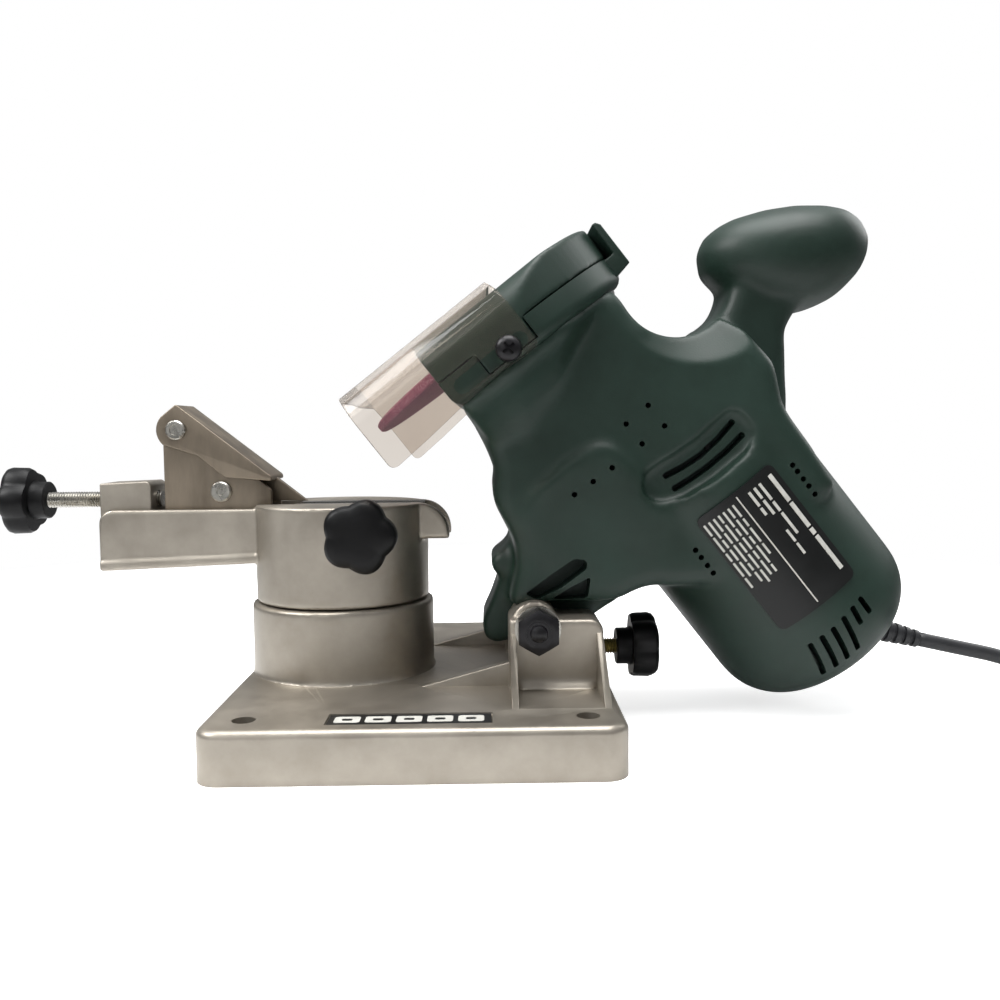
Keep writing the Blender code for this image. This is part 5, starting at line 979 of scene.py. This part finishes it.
def threadedRod(name, direction, start, length, radius, pitch, node, body, material):
    # fine rings stand for the thread
    profile = [(0, length), (radius - 0.5, length), (radius - 0.1, length - 0.5)]
    height = length - 0.6
    while height > pitch:
        profile += [(radius, height), (radius - 0.45, height - pitch / 2)]
        height -= pitch
    profile += [(radius, height), (radius, 0), (0, 0)]
    rod = turnedPiece(name, profile, "Z", (0, 0, 0), 32)
    rest = Vector(direction).to_track_quat("Z", "Y").to_matrix().to_4x4()
    rod.data.transform(Matrix.Translation(start) @ rest)
    return keep(rod, body, material, [node], smooth=50)


# the clamp knob stands off the drum by the jaw's travel and a gap
clampOffset = clampSpot[0] - drumAxis[0] - knobSize["hubRadius"]
clampFace = -math.sqrt(viseSize["drum"] ** 2 - clampOffset ** 2) - 4.3
clampRod = {"start": -8, "inKnob": 9.7}
rodLength = clampRod["start"] - clampFace + clampRod["inKnob"]
clampStart = toAxis("Y", *clampSpot, clampRod["start"])
lobedKnob("clampKnobBody", (0, -1, 0), toAxis("Y", *clampSpot, clampFace), "clamp_knob", "clamp", 4.3)
lobedKnob("stopKnobBody", (-1, 0, 0), toAxis("X", *stopSpot, -143.5), "stop_knob", "stop_handle", 3.3)
lobedKnob("depthKnobBody", (1, 0, 0), (72, 0, depthHeight), "depth_knob", "depth_handle", 3.3)
threadedRod("clampRod", (0, -1, 0), clampStart, rodLength, 4, 1.25, "clamp_screw", "clamp", zincPlate)
threadedRod("stopRod", (-1, 0, 0), (-100.8, *stopSpot), 52.4, 3, 1, "stop_screw", "stop_feed", zincPlate)
threadedRod("depthRod", (1, 0, 0), (56.1, 0, depthHeight), 25.6, 3, 1, "depth_screw", "depth_feed", yellowZinc)
print("knobs and screws made")

# stop carriage: a folded sheet with soft edges
pawlSpot = (-91.6, 108)
carriageScrewSpot = (-76, 85)
ear = arc(pawlSpot, 5.6, 60, 180, 13)
sheetLine = [(-97.2, 62.3), (-57.5, 62.3), (-57.5, 85.5), *ear]
carriage = plate("carriageSheet", sheetLine, "Y", -sheetHalf, sheetHalf, 0.5, 1.0)
carve(carriage, [box("carriageRoom", (-110, -7.2, 70.3), (-40, 7.2, 130))])
pinWay = bar("pinWay", "Y", pawlSpot, 2.5, -20, 20, 0, 24)
screwWay = bar("screwWay", "Y", carriageScrewSpot, 2.3, -20, 20, 0, 24)
carve(carriage, [pinWay, screwWay])
keep(carriage, "carriage", stampedSteel, ["stop_carriage"])


def headedPin(name, node, place, seat, radius, headRadius, socket):
    # a pin through the sheet with a dimpled head on each side
    pin = bar("shank", "Y", place, radius, -seat - 0.3, seat + 0.3, 0, 32)
    profile = [(0, 1.1), (socket, 1.1), (socket + 0.2, 1.5), (headRadius - 0.5, 1.5)]
    profile += [(headRadius, 1.0), (headRadius, 0), (0, 0)]
    for side in bothSides:
        head = turnedPiece("pinHead", profile, "Y", (0, 0, 0), 40)
        carve(pin, [faced(head, side, toAxis("Y", *place, side * seat))], "UNION")
    pin.name = name
    return keep(pin, "carriage", zincPlate, [node])


headedPin("pawlPinBody", "pawl_pin", pawlSpot, 11.3, 2.2, 3.6, 1.8)
headedPin("carriageScrewBody", "carriage_screw", carriageScrewSpot, 9.5, 2, 3.8, 1.2)

# tooth stop: a bent channel with a slanting roof and a blade
nose = arc(pawlSpot, 7.5, 140, 225, 9)
stopLine = [(-91.6, 117.5), *nose, (-84, 98.5), (-74.3, 90.4), (-57, 88.8), (-57, 90.5)]
channel = plate("channel", stopLine, "Y", -11, 11, 0.4, 0.7)
under = [(-106, 127), (-54, 86.3), (-54, 70), (-106, 70)]
carve(channel, [plate("channelRoom", under, "Y", -9.5, 9.5)])
blade = [(-64.5, 95.2), (-60.8, 81), (-45.6, 80.7), (-57, 89.7)]
carve(channel, [plate("blade", blade, "Y", -1.6, 1.6, 0.3)], "UNION")
carve(channel, [bar("pawlWay", "Y", pawlSpot, 2.5, -20, 20, 0, 24)])
channel.name = "toothStopBody"
keep(channel, "tooth_stop", stampedSteel, ["tooth_stop"])
print("stop made")

# power plug: moulded body and two pins
plugSize = {"low": (343.3, -28.7, 0.1), "high": (377.3, 4.3, 17.4), "edge": 5, "middle": -12.2, "apart": 9.5}
powerPlug = box("plugBody", plugSize["low"], plugSize["high"], plugSize["edge"], 4)
for side in bothSides:
    spot = (plugSize["middle"] + side * plugSize["apart"], 8.7)
    carve(powerPlug, [bar("plugPin", "X", spot, 2.4, 375, 396.2, 0.8, 24)], "UNION")
keep(powerPlug, "base", blackPhenolic, ["power_plug"])

# room, light and background
floorBm = bmesh.new()
bmesh.ops.create_grid(floorBm, x_segments=1, y_segments=1, size=6)
floor = loose("floor", floorBm)
# matt white board: a soft grey shadow close by, white further out
floorPaint = bpy.data.materials.new("matteWhiteBoard")
floorPaint.use_nodes = True
tree = floorPaint.node_tree
paint = tree.nodes["Principled BSDF"]
paint.inputs["Base Color"].default_value = colour("#f4f4f4")
paint.inputs["Roughness"].default_value = 0.9
where = addNode(tree, "ShaderNodeTexCoord")
reach = addNode(tree, "ShaderNodeVectorMath", {"operation": "LENGTH"}, {"Vector": where.outputs["Object"]})
strength = addNode(
    tree, "ShaderNodeMapRange", {"From Min": 0.2, "From Max": 0.5, "To Min": 0.66, "To Max": 0.8},
    {"Value": reach.outputs["Value"]},
)
glow = addNode(tree, "ShaderNodeEmission", {"Color": (1, 1, 1, 1)}, {"Strength": strength.outputs["Result"]})
near = addNode(tree, "ShaderNodeAddShader")
tree.links.new(paint.outputs["BSDF"], near.inputs[0])
tree.links.new(glow.outputs["Emission"], near.inputs[1])
plain = addNode(tree, "ShaderNodeEmission", {"Color": (1, 1, 1, 1), "Strength": 1.0})
distance = addNode(tree, "ShaderNodeMapRange", {"From Min": 0.3, "From Max": 0.55}, {"Value": reach.outputs["Value"]})
both = addNode(tree, "ShaderNodeMixShader", {}, {"Fac": distance.outputs["Result"]})
tree.links.new(near.outputs["Shader"], both.inputs[1])
tree.links.new(plain.outputs["Emission"], both.inputs[2])


def seenDirectly(tree):
    # 1 for what the camera sees, also through the clear guard
    path = addNode(tree, "ShaderNodeLightPath")
    either = addNode(tree, "ShaderNodeMath", {"operation": "MAXIMUM"})
    tree.links.new(path.outputs["Is Camera Ray"], either.inputs[0])
    tree.links.new(path.outputs["Is Transmission Ray"], either.inputs[1])
    return either.outputs["Value"]


# what the object mirrors: the board is pale close by and dimmer further out
fade = addNode(
    tree, "ShaderNodeMapRange", {"From Min": 0.12, "From Max": 0.5, "To Min": 0.9, "To Max": 0.25},
    {"Value": reach.outputs["Value"]},
)
greys = {channel: fade.outputs["Result"] for channel in ("Red", "Green", "Blue")}
dimmed = addNode(tree, "ShaderNodeCombineColor", {}, greys)
mirrored = addNode(tree, "ShaderNodeBsdfDiffuse", {}, {"Color": dimmed.outputs["Color"]})
shown = addNode(tree, "ShaderNodeMixShader", {}, {"Fac": seenDirectly(tree)})
tree.links.new(mirrored.outputs["BSDF"], shown.inputs[1])
tree.links.new(both.outputs["Shader"], shown.inputs[2])
tree.links.new(shown.outputs["Shader"], tree.nodes["Material Output"].inputs["Surface"])
floor.data.materials.append(floorPaint)

# the room is dim around and bright above, and white where it is seen
world = bpy.data.worlds.new("studio")
bpy.context.scene.world = world
world.use_nodes = True
tree = world.node_tree
tree.nodes.clear()
where = addNode(tree, "ShaderNodeTexCoord")
height = addNode(tree, "ShaderNodeSeparateXYZ", {}, {"Vector": where.outputs["Generated"]})
strength = addNode(
    tree, "ShaderNodeMapRange", {"From Min": 0.0, "From Max": 0.8, "To Min": 0.1, "To Max": 0.6},
    {"Value": height.outputs["Z"]},
)
dim = addNode(tree, "ShaderNodeBackground", {"Color": (0.97, 0.98, 1, 1)}, {"Strength": strength.outputs["Result"]})
bright = addNode(tree, "ShaderNodeBackground", {"Color": (1, 1, 1, 1), "Strength": 1.0})
blend = addNode(tree, "ShaderNodeMixShader", {}, {"Fac": seenDirectly(tree)})
tree.links.new(dim.outputs["Background"], blend.inputs[1])
tree.links.new(bright.outputs["Background"], blend.inputs[2])
addNode(tree, "ShaderNodeOutputWorld", {}, {"Surface": blend.outputs["Shader"]})

lamps = {
    "overhead": {"place": (0.05, -0.1, 1.1), "aim": (0.05, 0, 0.05), "size": 0.85, "power": 16},
    "leftHigh": {"place": (-0.75, -0.25, 0.8), "aim": (0, 0, 0.1), "size": 0.5, "power": 8},
    "front": {"place": (-0.5, -1.1, 0.5), "aim": (0.05, 0, 0.08), "size": 0.6, "power": 1.2},
    "back": {"place": (0.8, 0.5, 0.6), "aim": (0, 0, 0.08), "size": 0.5, "power": 3},
}
for name, lamp in lamps.items():
    light = bpy.data.lights.new(name, "AREA")
    light.size = lamp["size"]
    light.energy = lamp["power"]
    item = bpy.data.objects.new(name, light)
    item.location = lamp["place"]
    item.rotation_euler = (Vector(lamp["aim"]) - Vector(lamp["place"])).to_track_quat("-Z", "Y").to_euler()
    bpy.context.scene.collection.objects.link(item)

bpy.context.scene.view_settings.view_transform = "Standard"
print("scene complete")
